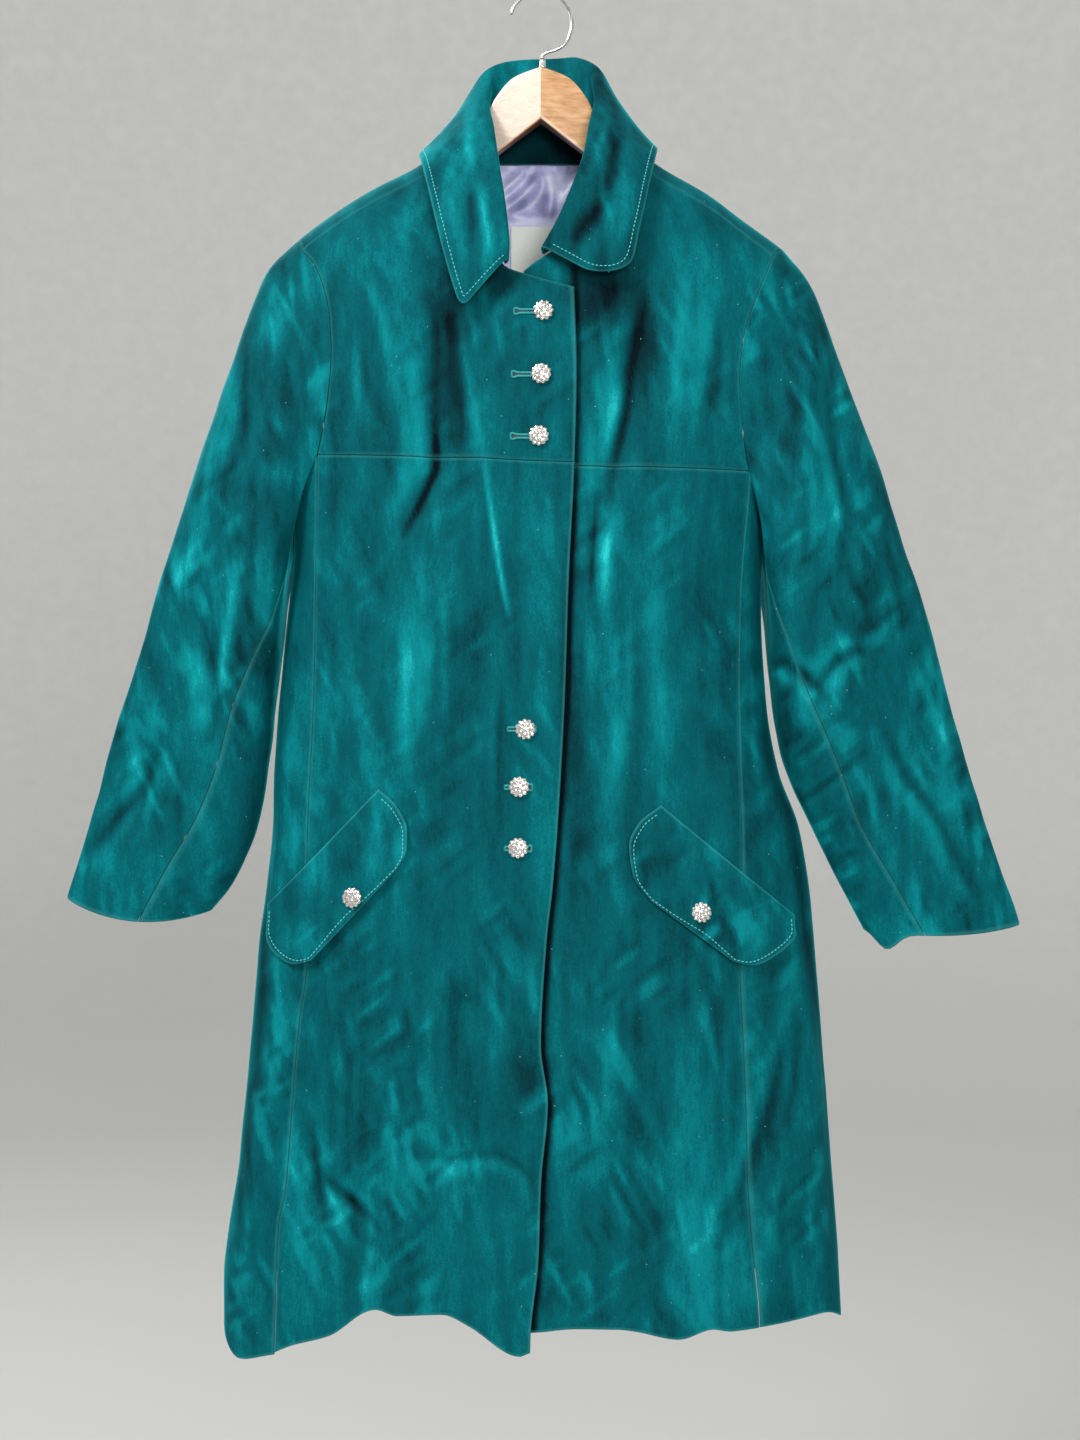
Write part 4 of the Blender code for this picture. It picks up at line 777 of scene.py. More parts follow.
# by the face it lies on: depth (minus is a trough); width on the left and on the right of the line; painted
# highlight (plus) and shade (minus) of the fold, partly pressed pile, on the left, on the right and in the
# line itself; x, z of the line from its top end down
CREASES = {
    "front": [
        (-1.5, 13, 6, 1.2, 0.0, -1.2, [(-90, -285), (-93, -390), (-92, -427), (-104, -460), (-121, -492)]),
        (-1.5, 4, 5, 0.5, 0.1, -1.4, [(-94, -395), (-92, -427), (-100, -452), (-120, -492)]),
        (1.0, 10, 14, 0.0, 0.7, 0.3, [(-104, -500), (-112, -550), (-116, -600), (-126, -660)]),
        (0.6, 16, 10, -0.9, 0.2, 0.7, [(-72, -318), (-60, -380), (-49, -430)]),
        (1.6, 4, 5, -0.2, 0.1, 1.6, [(-49, -432), (-41, -490), (-33, -540), (-27, -566)]),
        (-2.0, 12, 12, 0.2, 0.1, -0.9, [(-80, -296), (-76, -340), (-68, -390)]),
        (-2.0, 10, 7, 0.4, 0.0, -0.3, [(-166, -474), (-150, -520), (-132, -556)]),
        (1.6, 14, 20, 0.0, 0.1, 0.5, [(-170, -590), (-158, -650), (-144, -715), (-140, -760)]),
        (1.6, 10, 14, 0.0, 0.1, 0.5, [(-123, -550), (-118, -640), (-118, -715)]),
        (-1.2, 5, 7, 0.3, 0.0, -0.5, [(-34, -627), (-37, -680), (-36, -762)]),
        (-1.5, 12, 6, 1.0, 0.0, -1.5, [(92, -285), (80, -340), (74, -385), (64, -430), (59, -462)]),
        (1.5, 8, 14, -0.6, 0.2, 1.3, [(62, -470), (56, -510), (52, -560)]),
        (-2.0, 4, 5, 0.2, 0.6, -0.9, [(50, -456), (45, -500), (43, -545)]),
        (2.0, 12, 8, 0.1, 0.0, 1.0, [(72, -360), (66, -390), (59, -424)]),
        (1.6, 16, 18, 0.0, 0.0, 0.5, [(98, -455), (101, -560), (104, -660), (112, -740)]),
        (1.2, 12, 16, 0.0, 0.0, 0.5, [(62, -560), (68, -640), (64, -740)]),
        (1.6, 18, 20, 0.0, 0.0, 0.4, [(20, -840), (12, -960), (24, -1080), (30, -1170)]),
        (-1.0, 16, 22, 0.1, 0.0, -0.4, [(74, -900), (84, -980), (82, -1090), (92, -1170)]),
        (0.8, 22, 18, 0.0, 0.1, 0.4, [(120, -900), (128, -990), (130, -1100), (136, -1176)]),
        (-1.0, 14, 20, 0.2, 0.0, -0.3, [(-70, -870), (-78, -940), (-70, -1030), (-84, -1150)]),
        (0.8, 22, 16, 0.0, 0.1, 0.4, [(-112, -890), (-122, -970), (-118, -1060), (-130, -1150)]),
        (-3.0, 12, 7, 0.7, 0.2, -0.9, [(-203, -1000), (-196, -1050), (-187, -1092)]),
        (4.0, 8, 8, -0.3, 0.3, 0.9, [(-146, -1112), (-152, -1142), (-150, -1172)]),
        (-3.5, 8, 7, 0.5, 0.3, -1.0, [(-190, -1050), (-172, -1066), (-160, -1074), (-140, -1094)]),
        (2.0, 6, 6, 0.0, 0.2, 0.6, [(-160, -1074), (-180, -1090), (-206, -1096)]),
        (-1.8, 7, 8, 0.5, 0.1, -0.4, [(-114, -1028), (-80, -1034), (-40, -1030), (-10, -1050), (-4, -1076)]),
        (-3.5, 10, 13, 0.7, 0.0, -0.8, [(222, -915), (204, -980), (180, -1050), (160, -1090)]),
        (2.5, 12, 10, 0.0, 0.2, 0.6, [(228, -990), (208, -1050), (196, -1110), (190, -1170)]),
        (-2.4, 8, 11, 0.4, 0.0, -0.6, [(232, -905), (226, -960), (214, -1020)]),
        (-2.0, 8, 10, 0.4, 0.0, -0.5, [(-160, -300), (-152, -360), (-136, -400)]),
        (1.8, 10, 12, 0.0, 0.1, 0.5, [(-150, -260), (-136, -320), (-120, -400)]),
        (1.8, 10, 14, 0.0, 0.1, 0.4, [(126, -260), (120, -330), (112, -420)]),
        (-1.8, 10, 10, 0.3, 0.0, -0.4, [(160, -290), (152, -350), (138, -412)]),
    ],
    "back": [
        (-1.5, 12, 14, 0.6, 0.1, -0.8, [(-96, -340), (-88, -430), (-92, -500), (-78, -640)]),
        (1.0, 16, 20, 0.0, 0.2, 0.6, [(-50, -350), (-42, -450), (-54, -600), (-46, -760)]),
        (-1.5, 12, 14, 0.4, 0.4, -0.7, [(88, -330), (78, -430), (84, -540), (72, -680)]),
        (2.0, 18, 16, 0.1, 0.1, 0.5, [(30, -380), (38, -520), (24, -700)]),
        (-1.0, 16, 22, 0.3, 0.1, -0.5, [(-120, -700), (-112, -860), (-128, -1010), (-122, -1150)]),
        (0.8, 22, 20, 0.0, 0.1, 0.5, [(-70, -780), (-78, -930), (-64, -1150)]),
        (-1.0, 20, 18, 0.3, 0.1, -0.5, [(-14, -820), (-6, -980), (-18, -1150)]),
        (0.8, 24, 20, 0.1, 0.0, 0.5, [(46, -760), (58, -930), (50, -1150)]),
        (-1.0, 18, 20, 0.2, 0.3, -0.5, [(112, -720), (120, -900), (108, -1040), (118, -1150)]),
    ],
    "right": [
        (-3.0, 12, 14, 0.4, 0.1, -0.6, [(-18, -620), (-10, -780), (-22, -930), (-14, -1120)]),
        (2.6, 12, 14, 0.0, 0.1, 0.5, [(26, -560), (30, -760), (22, -980), (32, -1150)]),
    ],
    "left": [
        (-3.0, 12, 14, 0.4, 0.1, -0.6, [(-14, -640), (-22, -800), (-10, -960), (-18, -1130)]),
        (2.6, 12, 14, 0.0, 0.1, 0.5, [(26, -580), (22, -790), (32, -990), (24, -1150)]),
    ],
}
# creases of the sleeves, laid out as CREASES above, with painted highlight and shade of each fold
SLEEVE_CREASES = {
    "front": [
        (3.0, 9, 10, 0.0, 0.0, 0.9, [(-266, -508), (-276, -580), (-290, -654)]),
        (-4.0, 10, 8, 0.5, 0.2, -0.8, [(-312, -532), (-294, -590), (-286, -636), (-292, -672)]),
        (-4.0, 10, 12, 0.4, 0.2, -0.6, [(-410, -776), (-374, -738), (-352, -706), (-336, -671)]),
        (2.4, 10, 12, 0.1, 0.1, 0.5, [(-236, -260), (-232, -300), (-232, -350)]),
        (-3.0, 10, 12, 0.4, 0.1, -0.5, [(-268, -300), (-262, -380), (-276, -450)]),
        (2.6, 12, 12, 0.1, 0.1, 0.5, [(-290, -400), (-298, -470), (-318, -540)]),
        (-3.0, 10, 9, 0.3, 0.1, -0.5, [(-360, -640), (-350, -700), (-372, -770)]),
        (-5.0, 8, 9, 0.5, 0.4, -0.9, [(196, -600), (214, -606), (233, -616), (250, -634)]),
        (-4.0, 9, 8, 0.5, 0.3, -0.8, [(284, -590), (262, -602), (244, -625)]),
        (3.0, 10, 10, 0.1, 0.2, 0.7, [(330, -604), (350, -645), (366, -690)]),
        (-3.5, 10, 10, 0.4, 0.2, -0.5, [(262, -320), (256, -400), (268, -470), (262, -540)]),
        (2.6, 12, 12, 0.1, 0.1, 0.5, [(236, -300), (232, -390), (240, -500)]),
        (-3.0, 9, 10, 0.4, 0.1, -0.6, [(300, -650), (322, -700), (352, -740), (380, -800)]),
        (2.4, 10, 10, 0.1, 0.1, 0.5, [(270, -680), (296, -730), (320, -800)]),
        (-2.4, 9, 9, 0.3, 0.1, -0.4, [(300, -470), (316, -530), (322, -580)]),
    ],
    "back": [
        (-4.0, 12, 10, 0.4, 0.2, -0.6, [(-262, -320), (-276, -420), (-290, -540)]),
        (-4.0, 10, 10, 0.4, 0.3, -0.7, [(-256, -650), (-288, -640), (-330, -612)]),
        (3.0, 12, 12, 0.1, 0.1, 0.5, [(-320, -560), (-340, -650), (-370, -760)]),
        (-4.0, 12, 10, 0.4, 0.2, -0.6, [(258, -330), (272, -430), (282, -540)]),
        (-4.0, 10, 10, 0.4, 0.3, -0.7, [(250, -640), (284, -630), (322, -600)]),
        (3.0, 12, 12, 0.1, 0.1, 0.5, [(316, -560), (340, -660), (370, -770)]),
    ],
}


def lattice(points, scale, seed):
    """Smooth noise from -1 to 1; scale is the size of its cells along x, y and z."""
    size = np.array([23, 11, 41])
    table = np.random.default_rng(seed).uniform(-1.0, 1.0, size)
    at = points / np.asarray(scale, float) + 100.0
    cell = np.floor(at).astype(int)
    part = at - cell
    part = part * part * (3.0 - 2.0 * part)
    total = np.zeros(points.shape[:-1])
    for corner in np.ndindex(2, 2, 2):
        weight = np.prod(np.where(corner, part, 1 - part), axis=-1)
        total += weight * table[tuple(np.moveaxis((cell + corner) % size, -1, 0))]
    return total


def line_offset(u, v, line):
    """Signed distance from a line of points, and the share along it of the nearest spot."""
    best = np.full(u.shape, 1e9)
    side = np.zeros(u.shape)
    along = np.zeros(u.shape)
    count = len(line) - 1
    for k in range(count):
        a = line[k]
        d = line[k + 1] - a
        t = np.clip(((u - a[0]) * d[0] + (v - a[1]) * d[1]) / (d @ d), 0.0, 1.0)
        du = u - a[0] - t * d[0]
        dv = v - a[1] - t * d[1]
        away = np.hypot(du, dv)
        near = away < best
        best = np.where(near, away, best)
        side = np.where(near, np.sign(d[0] * dv - d[1] * du), side)
        along = np.where(near, (k + t) / count, along)
    return best * np.where(side == 0.0, 1.0, side), along


LOOK = {"front": (0, 1, -1.0), "back": (0, 1, 1.0), "right": (1, 0, -1.0), "left": (1, 0, 1.0)}


def relief(grid, normal, table):
    """How far the creases move each point out, and the highlight and shade painted along them, partly pressed
    pile.
    """
    lift = np.zeros(grid.shape[:-1])
    glow = np.zeros(grid.shape[:-1])
    for face, rows in table.items():
        plane, axis, sign = LOOK[face]
        u = grid[..., plane]
        v = grid[..., 2]
        facing = np.clip(normal[..., axis] * sign * 2.0, 0.0, 1.0)
        for depth, left, right, glow_left, glow_right, glow_line, points in rows:
            line = path(points, np.linspace(0.0, 1.0, 13))
            reach = 3.0 * max(left, right)
            near = ((facing > 0.0) & (u > line[:, 0].min() - reach) & (u < line[:, 0].max() + reach)
                    & (v > line[:, 1].min() - reach) & (v < line[:, 1].max() + reach))
            if not near.any():
                continue
            away, along = line_offset(u[near], v[near], line)
            width = np.where(away < 0.0, left, right)
            ends = np.sqrt(np.sin(math.pi * np.clip(along, 0.02, 0.98)))
            lift[near] += depth * np.exp(-(np.abs(away) / width)**1.7) * ends * facing[near]
            beside = (np.where(away < 0.0, glow_left, glow_right)
                      * np.exp(-((np.abs(away) - 1.1 * width) / width)**2))
            glow[near] += (beside + glow_line * np.exp(-(away / (0.6 * width))**2)) * ends * facing[near]
    return lift, glow


# x, z, radius across, radius down, turn of the colour (minus is darker); the dark patches under the collar
# are painted shadow, partly darker pile; the two narrow ones just beside the over front's edge are painted
# shadow; the others are tone of the pile
PILE_AND_SHADOW_PATCHES = [
    (-82, -300, 18, 46, -0.9), (58, -285, 36, 26, -1.0), (90, -330, 14, 40, -0.8), (-40, -268, 26, 16, -0.9),
    (-160, -250, 30, 50, 0.25), (130, -300, 40, 60, 0.2), (150, -620, 30, 90, -0.15),
    (-60, -640, 30, 80, -0.25), (-180, -900, 26, 120, -0.2), (200, -760, 20, 90, -0.35),
    (-20, -480, 30, 40, 0.15), (32, -700, 10, 120, -0.5), (-60, -1090, 50, 60, 0.2),
    (60, -1010, 40, 100, 0.15), (-212, -1120, 14, 60, 0.3), (150, -1120, 30, 40, 0.25),
    (-150, -420, 40, 20, -0.15), (24, -600, 8, 160, -0.3),
]


def pile_and_shadow_patches(grid, normal):
    total = np.zeros(grid.shape[:-1])
    facing = np.clip(-normal[..., 1] * 2.0, 0.0, 1.0)
    for x, z, wide, high, turn in PILE_AND_SHADOW_PATCHES:
        total += turn * np.exp(-((grid[..., 0] - x) / wide)**2 - ((grid[..., 2] - z) / high)**2) * facing
    return total


def shoulder_calm(grid):
    """0 where the cloth lies on the hanger's arms, 1 well below them."""
    return ease((ridge_z(grid[..., 0]) - 22.0 - grid[..., 2]) / 50.0)


def cloth_lift(grid, normal):
    """Lift of the body's cloth, and its colour value: pile tone and pressed marks, with the painted highlight
    and shade of its creases.
    """
    lift, glow = relief(grid, normal, CREASES)
    calm = shoulder_calm(grid)
    uneven = (0.65 * lattice(grid, (46, 46, 120), 3) + 0.35 * lattice(grid, (17, 17, 34), 5)) * UNEVEN_BODY
    glow = glow + 0.26 * lattice(grid, (20, 20, 150), 7) + 0.14 * lattice(grid, (60, 60, 90), 11)
    low = ease((-780.0 - grid[..., 2]) / 160.0)
    glow = 0.75 * glow + 0.22 * lattice(grid, (7, 7, 40), 13) + (0.5 + 0.3 * low) * crush(grid)
    return (lift + uneven) * (0.12 + 0.88 * calm), glow


# slant of the marks from upright, seed of their noise
CRUSH_SLANTS = [(0.5, 19), (-0.9, 53), (0.15, 37)]


def crush(grid):
    """Short slanted marks, light and dark, in patches where the pile was pressed."""
    total = np.zeros(grid.shape[:-1])
    for slant, seed in CRUSH_SLANTS:
        across = grid[..., 0] * math.cos(slant) + grid[..., 2] * math.sin(slant)
        along = grid[..., 2] * math.cos(slant) - grid[..., 0] * math.sin(slant)
        marks = lattice(np.stack([across, grid[..., 1], along], axis=-1), (7.0, 30.0, 34.0), seed)
        patch = np.clip(2.2 * lattice(grid, (38, 38, 52), seed + 1), 0.0, 1.0)
        total += patch * (1.2 * np.clip(marks - 0.15, 0.0, 1.0) - 0.9 * np.clip(-marks - 0.25, 0.0, 1.0))
    return np.clip(total, -0.4, 0.55)


def widen(grid):
    """Adds a row or column close inside each edge, so that an edge can turn in tightly."""
    def more(points):
        first = points[:1] + (points[1:2] - points[:1]) * EDGE_SHARE
        last = points[-1:] + (points[-2:-1] - points[-1:]) * EDGE_SHARE
        return np.concatenate([points[:1], first, points[1:-1], last, points[-1:]])
    return np.swapaxes(more(np.swapaxes(more(grid), 0, 1)), 0, 1)


EDGE_SLICES = {"low": (0, slice(None)), "high": (-1, slice(None)),
               "first": (slice(None), 0), "last": (slice(None), -1)}
NEXT_SLICES = {"low": (1, slice(None)), "high": (-2, slice(None)),
               "first": (slice(None), 1), "last": (slice(None), -2)}
EDGE_SHARE = 0.3           # of the first row or column, where a rim begins
HEM_ROUND = 0.3            # of the thickness, by which a free edge turns in


def shell(name, grid, normal, thickness, seams, glow):
    """Thin closed sheet: a fine outer face, a coarser inner face and a rim between them."""
    if np.sum(grid_normals(grid) * normal) < 0.0:
        grid = grid[:, ::-1]
        normal = normal[:, ::-1]
        glow = glow[:, ::-1]
        swap = {"first": "last", "last": "first"}
        seams = tuple(swap.get(edge, edge) for edge in seams)
    outer = widen(grid)
    out_normal = widen(normal)
    glow = widen(glow[..., None])[..., 0]
    rim = np.zeros(glow.shape)
    for edge, line in EDGE_SLICES.items():
        inner_line = NEXT_SLICES[edge]
        way = outer[inner_line] - outer[line]
        length = np.maximum(np.linalg.norm(way, axis=-1, keepdims=True), 1e-6)
        if edge in seams:
            outer[line] += way / length * SEAM - out_normal[line] * SEAM_SINK
            rim[inner_line] = np.maximum(rim[inner_line], 0.5)
        else:
            outer[line] -= out_normal[line] * HEM_ROUND * thickness
            rim[inner_line] = 1.0
        rim[line] = np.maximum(rim[line], 0.6)
    rows, columns = outer.shape[:2]
    row_pick, column_pick = (np.unique(np.append(np.arange(0, n, 2), n - 1)) for n in (rows, columns))
    inner = (outer - out_normal * thickness)[np.ix_(row_pick, column_pick)].copy()
    for edge, line in EDGE_SLICES.items():
        inner_line = NEXT_SLICES[edge]
        way = inner[inner_line] - inner[line]
        length = np.maximum(np.linalg.norm(way, axis=-1, keepdims=True), 1e-6)
        inner[line] += way / length * np.minimum(EDGE_BEVEL, 0.4 * length)
    count = rows * columns
    ir, ic = inner.shape[:2]
    index = np.arange(count).reshape(rows, columns)
    faces = np.stack([index[:-1, :-1], index[1:, :-1], index[1:, 1:], index[:-1, 1:]], axis=-1)
    under = count + np.arange(ir * ic).reshape(ir, ic)
    back = np.stack([under[:-1, :-1], under[:-1, 1:], under[1:, 1:], under[1:, :-1]], axis=-1)
    polys = [tuple(f) for f in np.concatenate([faces.reshape(-1, 4), back.reshape(-1, 4)]).tolist()]
    runs = [(index[0, :], column_pick, under[0, :]), (index[:, -1], row_pick, under[:, -1]),
            (index[-1, ::-1], (columns - 1 - column_pick)[::-1], under[-1, ::-1]),
            (index[::-1, 0], (rows - 1 - row_pick)[::-1], under[::-1, 0])]
    for outer_run, pick, inner_run in runs:
        for k in range(len(pick) - 1):
            ring = [int(outer_run[m]) for m in range(pick[k], pick[k + 1] + 1)]
            polys.append(tuple(ring + [int(inner_run[k + 1]), int(inner_run[k])]))
    points = np.concatenate([outer.reshape(-1, 3), inner.reshape(-1, 3)]) * MM
    mesh = bpy.data.meshes.new(name)
    mesh.from_pydata(points.tolist(), [], polys)
    mesh.polygons.foreach_set("use_smooth", [True] * len(mesh.polygons))
    extra = np.zeros(ir * ic)
    # the first attribute carries the pile's tone together with the highlight, shade and shadow painted on the
    # cloth
    add_values(mesh, "nap_and_painted_shading", np.concatenate([glow.ravel(), extra - 0.3]))
    add_values(mesh, "rim", np.concatenate([rim.ravel(), extra]))
    mesh.update()
    return add_object(name, mesh)


def add_values(mesh, name, values):
    layer = mesh.attributes.new(name=name, type="FLOAT", domain="POINT")
    layer.data.foreach_set("value", values.astype(np.float32))


def add_object(name, data):
    obj = bpy.data.objects.new(name, data)
    bpy.context.collection.objects.link(obj)
    return obj


def simple_mesh(name, points, faces, smooth_faces=True):
    mesh = bpy.data.meshes.new(name)
    mesh.from_pydata((np.asarray(points, float) * MM).tolist(), [], faces)
    mesh.polygons.foreach_set("use_smooth", [smooth_faces] * len(mesh.polygons))
    mesh.update()
    return add_object(name, mesh)


# creases of the collar, laid out as CREASES, with painted highlight and shade of each fold
COLLAR_CREASES = {
    "front": [
        (2.5, 7, 8, 0.0, 0.1, 0.9, [(-62, -120), (-64, -150), (-58, -176)]),
        (3.0, 8, 7, -0.5, 0.1, 0.9, [(-54, -190), (-50, -215), (-46, -240), (-45, -258)]),
        (-3.0, 9, 9, 0.2, 0.1, -0.5, [(-66, -170), (-62, -205), (-58, -240)]),
        (2.0, 7, 8, 0.1, 0.1, 0.5, [(-78, -200), (-72, -235), (-66, -262)]),
        (-5.0, 9, 9, 0.3, 0.4, -1.1, [(66, -140), (62, -165), (56, -202)]),
        (-5.0, 13, 12, 0.3, 0.3, -1.4, [(54, -206), (40, -224), (27, -243)]),
        (3.0, 7, 7, 0.0, 0.2, 0.8, [(52, -196), (56, -212), (58, -226)]),
        (2.5, 9, 9, 0.1, 0.1, 0.6, [(80, -170), (78, -210), (64, -250)]),
        (2.0, 8, 9, 0.1, 0.1, 0.5, [(60, -110), (52, -150), (44, -186)]),
    ],
    "back": [
        (-2.5, 10, 10, 0.2, 0.2, -0.5, [(-30, -60), (-34, -95), (-28, -120)]),
        (2.2, 10, 10, 0.1, 0.1, 0.4, [(22, -58), (28, -90), (26, -120)]),
    ],
}


# folds of the lining, laid out as CREASES, with painted highlight and shade of each fold
LINING_FOLDS = {
    "front": [
        (6.5, 5, 6, 0.2, 0.1, 0.5, [(0, -152), (-12, -166), (-26, -178), (-44, -186)]),
        (5.0, 4, 5, 0.1, 0.1, 0.4, [(-14, -146), (-26, -158), (-36, -166), (-48, -170)]),
        (4.0, 5, 5, 0.1, 0.1, 0.4, [(-36, -184), (-24, -192), (-4, -194)]),
        (5.0, 5, 6, 0.1, 0.1, 0.5, [(40, -150), (28, -162), (18, -178)]),
        (4.0, 4, 5, 0.1, 0.1, 0.4, [(46, -164), (34, -178), (26, -194)]),
        (4.0, 5, 5, 0.1, 0.1, 0.4, [(6, -148), (10, -170), (6, -194)]),
        (2.6, 6, 6, 0.1, 0.1, 0.4, [(-60, -180), (-66, -230), (-58, -290)]),
        (2.6, 6, 6, 0.1, 0.1, 0.4, [(60, -190), (66, -240), (56, -300)]),
    ],
}


def top_lift(grid, normal):
    lift, glow = cloth_lift(grid, normal)
    return lift, glow + pile_and_shadow_patches(grid, normal)


LEFT_POINT_ROUND = 11.0    # corners of the collar, by the side where they show
RIGHT_CORNER_ROUND = 30.0
UNEVEN_BODY = 0.9
UNEVEN_SLEEVE = 1.1
UNEVEN_COLLAR = 0.7


def oriented(grid, outward, spot=(0.5, 0.5)):
    """Normals of a grid turned so that at one spot they point out of the cloth."""
    normal = grid_normals(grid)
    at = normal[int(normal.shape[0] * spot[0]), int(normal.shape[1] * spot[1])]
    return -normal if np.dot(at, outward) < 0.0 else normal


def front_points(x, z, out):
    """Points a given height above the over front's finished face, and the directions out of it."""
    x = np.atleast_1d(np.asarray(x, float))
    z = np.atleast_1d(np.asarray(z, float))
    base, normal = face_points(x, z, over_y, 1.0)
    lift = top_lift(base, normal)[0]
    return base + normal * (lift + out)[..., None], normal


def circle(count):
    return np.linspace(0.0, 2.0 * math.pi, count, endpoint=False)


def bands(rings, sides, first=0, flip=False, wrap=False):
    """Faces between rings of points that follow each other; wrap joins the last ring to the first."""
    faces = []
    for r in range(rings if wrap else rings - 1):
        a = first + r * sides
        b = first + (r + 1) % rings * sides
        for k in range(sides):
            m = (k + 1) % sides
            faces.append((a + k, b + k, b + m, a + m) if flip else (a + k, a + m, b + m, b + k))
    return faces


def bar(name, points, sides, closed=False):
    """Solid through rings of points, with flat ends unless it closes on itself."""
    rings = len(points) // sides
    faces = bands(rings, sides, flip=True, wrap=closed)
    if not closed:
        faces += [tuple(range(sides)), tuple(range(rings * sides - 1, (rings - 1) * sides - 1, -1))]
    return simple_mesh(name, points, faces)


def turned(profile, sides):
    """Rings of points from radii and heights round the upright axis."""
    return [(r * math.cos(a), r * math.sin(a), h) for r, h in profile for a in circle(sides)]


def tube(name, line, radii, sides, closed=False):
    """Round thread or wire along points, its radius given at each."""
    way = np.roll(line, -1, axis=0) - np.roll(line, 1, axis=0) if closed else np.gradient(line, axis=0)
    way /= np.linalg.norm(way, axis=1, keepdims=True)
    guide = np.array([0.0, 1.0, 0.0])
    first = guide - way * (way @ guide)[:, None]
    first /= np.linalg.norm(first, axis=1, keepdims=True)
    second = np.cross(way, first)
    turn = circle(sides)
    points = (line[:, None] + radii.reshape(-1, 1, 1) * (first[:, None] * np.cos(turn)[None, :, None]
                                                         + second[:, None] * np.sin(turn)[None, :, None]))
    return bar(name, points.reshape(-1, 3), sides, closed)


STITCH = 2.5
STITCH_GAP = 1.2
STITCH_RADIUS = 0.42


def run_lengths(grid, axis):
    """Length along the grid from its start to each point."""
    steps = np.linalg.norm(np.diff(grid, axis=axis), axis=-1)
    return np.insert(np.cumsum(steps, axis=axis), 0, 0.0, axis=axis)


def inset_line(grid, inset, first_step):
    """Picks values that far inside the ends and the last row of a grid laid out as [along, across]."""
    along = run_lengths(grid, 0)
    across = run_lengths(grid, 1)
    left_to_edge = across[:, -1:] - across
    rows = np.arange(grid.shape[0])
    columns = np.arange(grid.shape[1])
    near_end = []
    far_end = []
    for j in range(first_step, grid.shape[1]):
        i = np.interp(inset, along[:, j], rows)
        k = np.interp(along[-1, j] - inset, along[:, j], rows)
        if np.interp(i, rows, left_to_edge[:, j]) > inset:
            near_end.append((i, j))
        if np.interp(k, rows, left_to_edge[:, j]) > inset:
            far_end.append((k, j))
    bottom = [(i, np.interp(-inset, -left_to_edge[i], columns)) for i in rows]
    low = near_end[-1][0] if near_end else 0
    high = far_end[-1][0] if far_end else rows[-1]
    marks = np.array(near_end + [b for b in bottom if low < b[0] < high] + far_end[::-1])
    i0 = np.clip(np.floor(marks[:, 0]).astype(int), 0, grid.shape[0] - 2)
    j0 = np.clip(np.floor(marks[:, 1]).astype(int), 0, grid.shape[1] - 2)
    a = (marks[:, 0] - i0)[:, None]
    b = (marks[:, 1] - j0)[:, None]

    def pick(values):
        return ((1 - a) * (1 - b) * values[i0, j0] + a * (1 - b) * values[i0 + 1, j0]
                + (1 - a) * b * values[i0, j0 + 1] + a * b * values[i0 + 1, j0 + 1])
    return pick


def round_corner(grid, radius, far_end):
    """Rounds the corner between one end of a grid laid out as [along, across] and its last column."""
    work = grid[::-1] if far_end else grid
    from_edge = run_lengths(work, 1)
    from_edge = from_edge[:, -1:] - from_edge
    p = np.clip(radius - run_lengths(work, 0), 0.0, None)
    q = np.clip(radius - from_edge, 0.0, None)
    shrink = np.where((p > 0.0) & (q > 0.0), np.maximum(p, q) / np.maximum(np.hypot(p, q), 1e-6), 1.0)
    along = np.gradient(work, axis=0)
    along /= np.linalg.norm(along, axis=-1, keepdims=True)
    across = -np.gradient(work, axis=1)
    across /= np.linalg.norm(across, axis=-1, keepdims=True)
    moved = work + along * (p * (1.0 - shrink))[..., None] + across * (q * (1.0 - shrink))[..., None]
    return moved[::-1] if far_end else moved


STITCH_SIDES = 6
# share of the stitch's length from its middle, share of its radius
STITCH_RINGS = [(-0.5, 0.35), (-0.3, 0.9), (0.0, 1.0), (0.3, 0.9), (0.5, 0.35)]
STITCH_LIFT = 0.15


def add_stitches(name, line, normal):
    """A dashed seam: short rounded stitches along a line, lying on the cloth."""
    steps = run_lengths(line, 0)
    points = []
    faces = []
    start = STITCH
    while start + STITCH < steps[-1]:
        middle, ahead, up = (np.array([np.interp(at, steps, table[:, c]) for c in range(3)])
                             for at, table in ((start, line), (start + 0.5, line), (start, normal)))
        ahead -= middle
        ahead /= np.linalg.norm(ahead)
        up -= ahead * (up @ ahead)
        up /= np.linalg.norm(up)
        side = np.cross(ahead, up)
        base = len(points)
        for along, fat in STITCH_RINGS:
            for a in circle(STITCH_SIDES):
                points.append(middle + up * STITCH_LIFT + ahead * along * STITCH
                              + STITCH_RADIUS * fat * (side * math.cos(a) + up * math.sin(a)))
        faces += bands(len(STITCH_RINGS), STITCH_SIDES, base)
        faces.append(tuple(range(base + STITCH_SIDES - 1, base - 1, -1)))
        faces.append(tuple(range(len(points) - STITCH_SIDES, len(points))))
        start += STITCH + STITCH_GAP
    return simple_mesh(name, points, faces)


# radius of the ring, how many stones, their radius, height of their feet
STONE_RINGS = [(0.0, 1, 2.3, 4.3), (4.1, 7, 1.75, 3.9), (7.3, 11, 1.75, 2.7)]
# share of the stone's radius, share of its height
STONE_CUT = [(0.96, 0.0), (1.0, 0.3), (0.55, 0.85)]
STONE_HEIGHT = 1.3
STONE_SIDES = 8
STONE_LEAN = 0.0225        # outer stones lean away by this, for each mm from the middle
# radius, height above the cloth
CUP = [(0.01, 0.1), (5.6, 0.1), (7.6, 0.9), (8.2, 2.2), (7.6, 3.0), (5.6, 3.6), (3.0, 4.1), (0.01, 4.4)]
CUP_SIDES = 44
CUP_SCALLOPS = 11
SCALLOP_DEPTH = 0.04       # of the radius, on the rings wider than SCALLOPED_FROM
SCALLOPED_FROM = 7.0


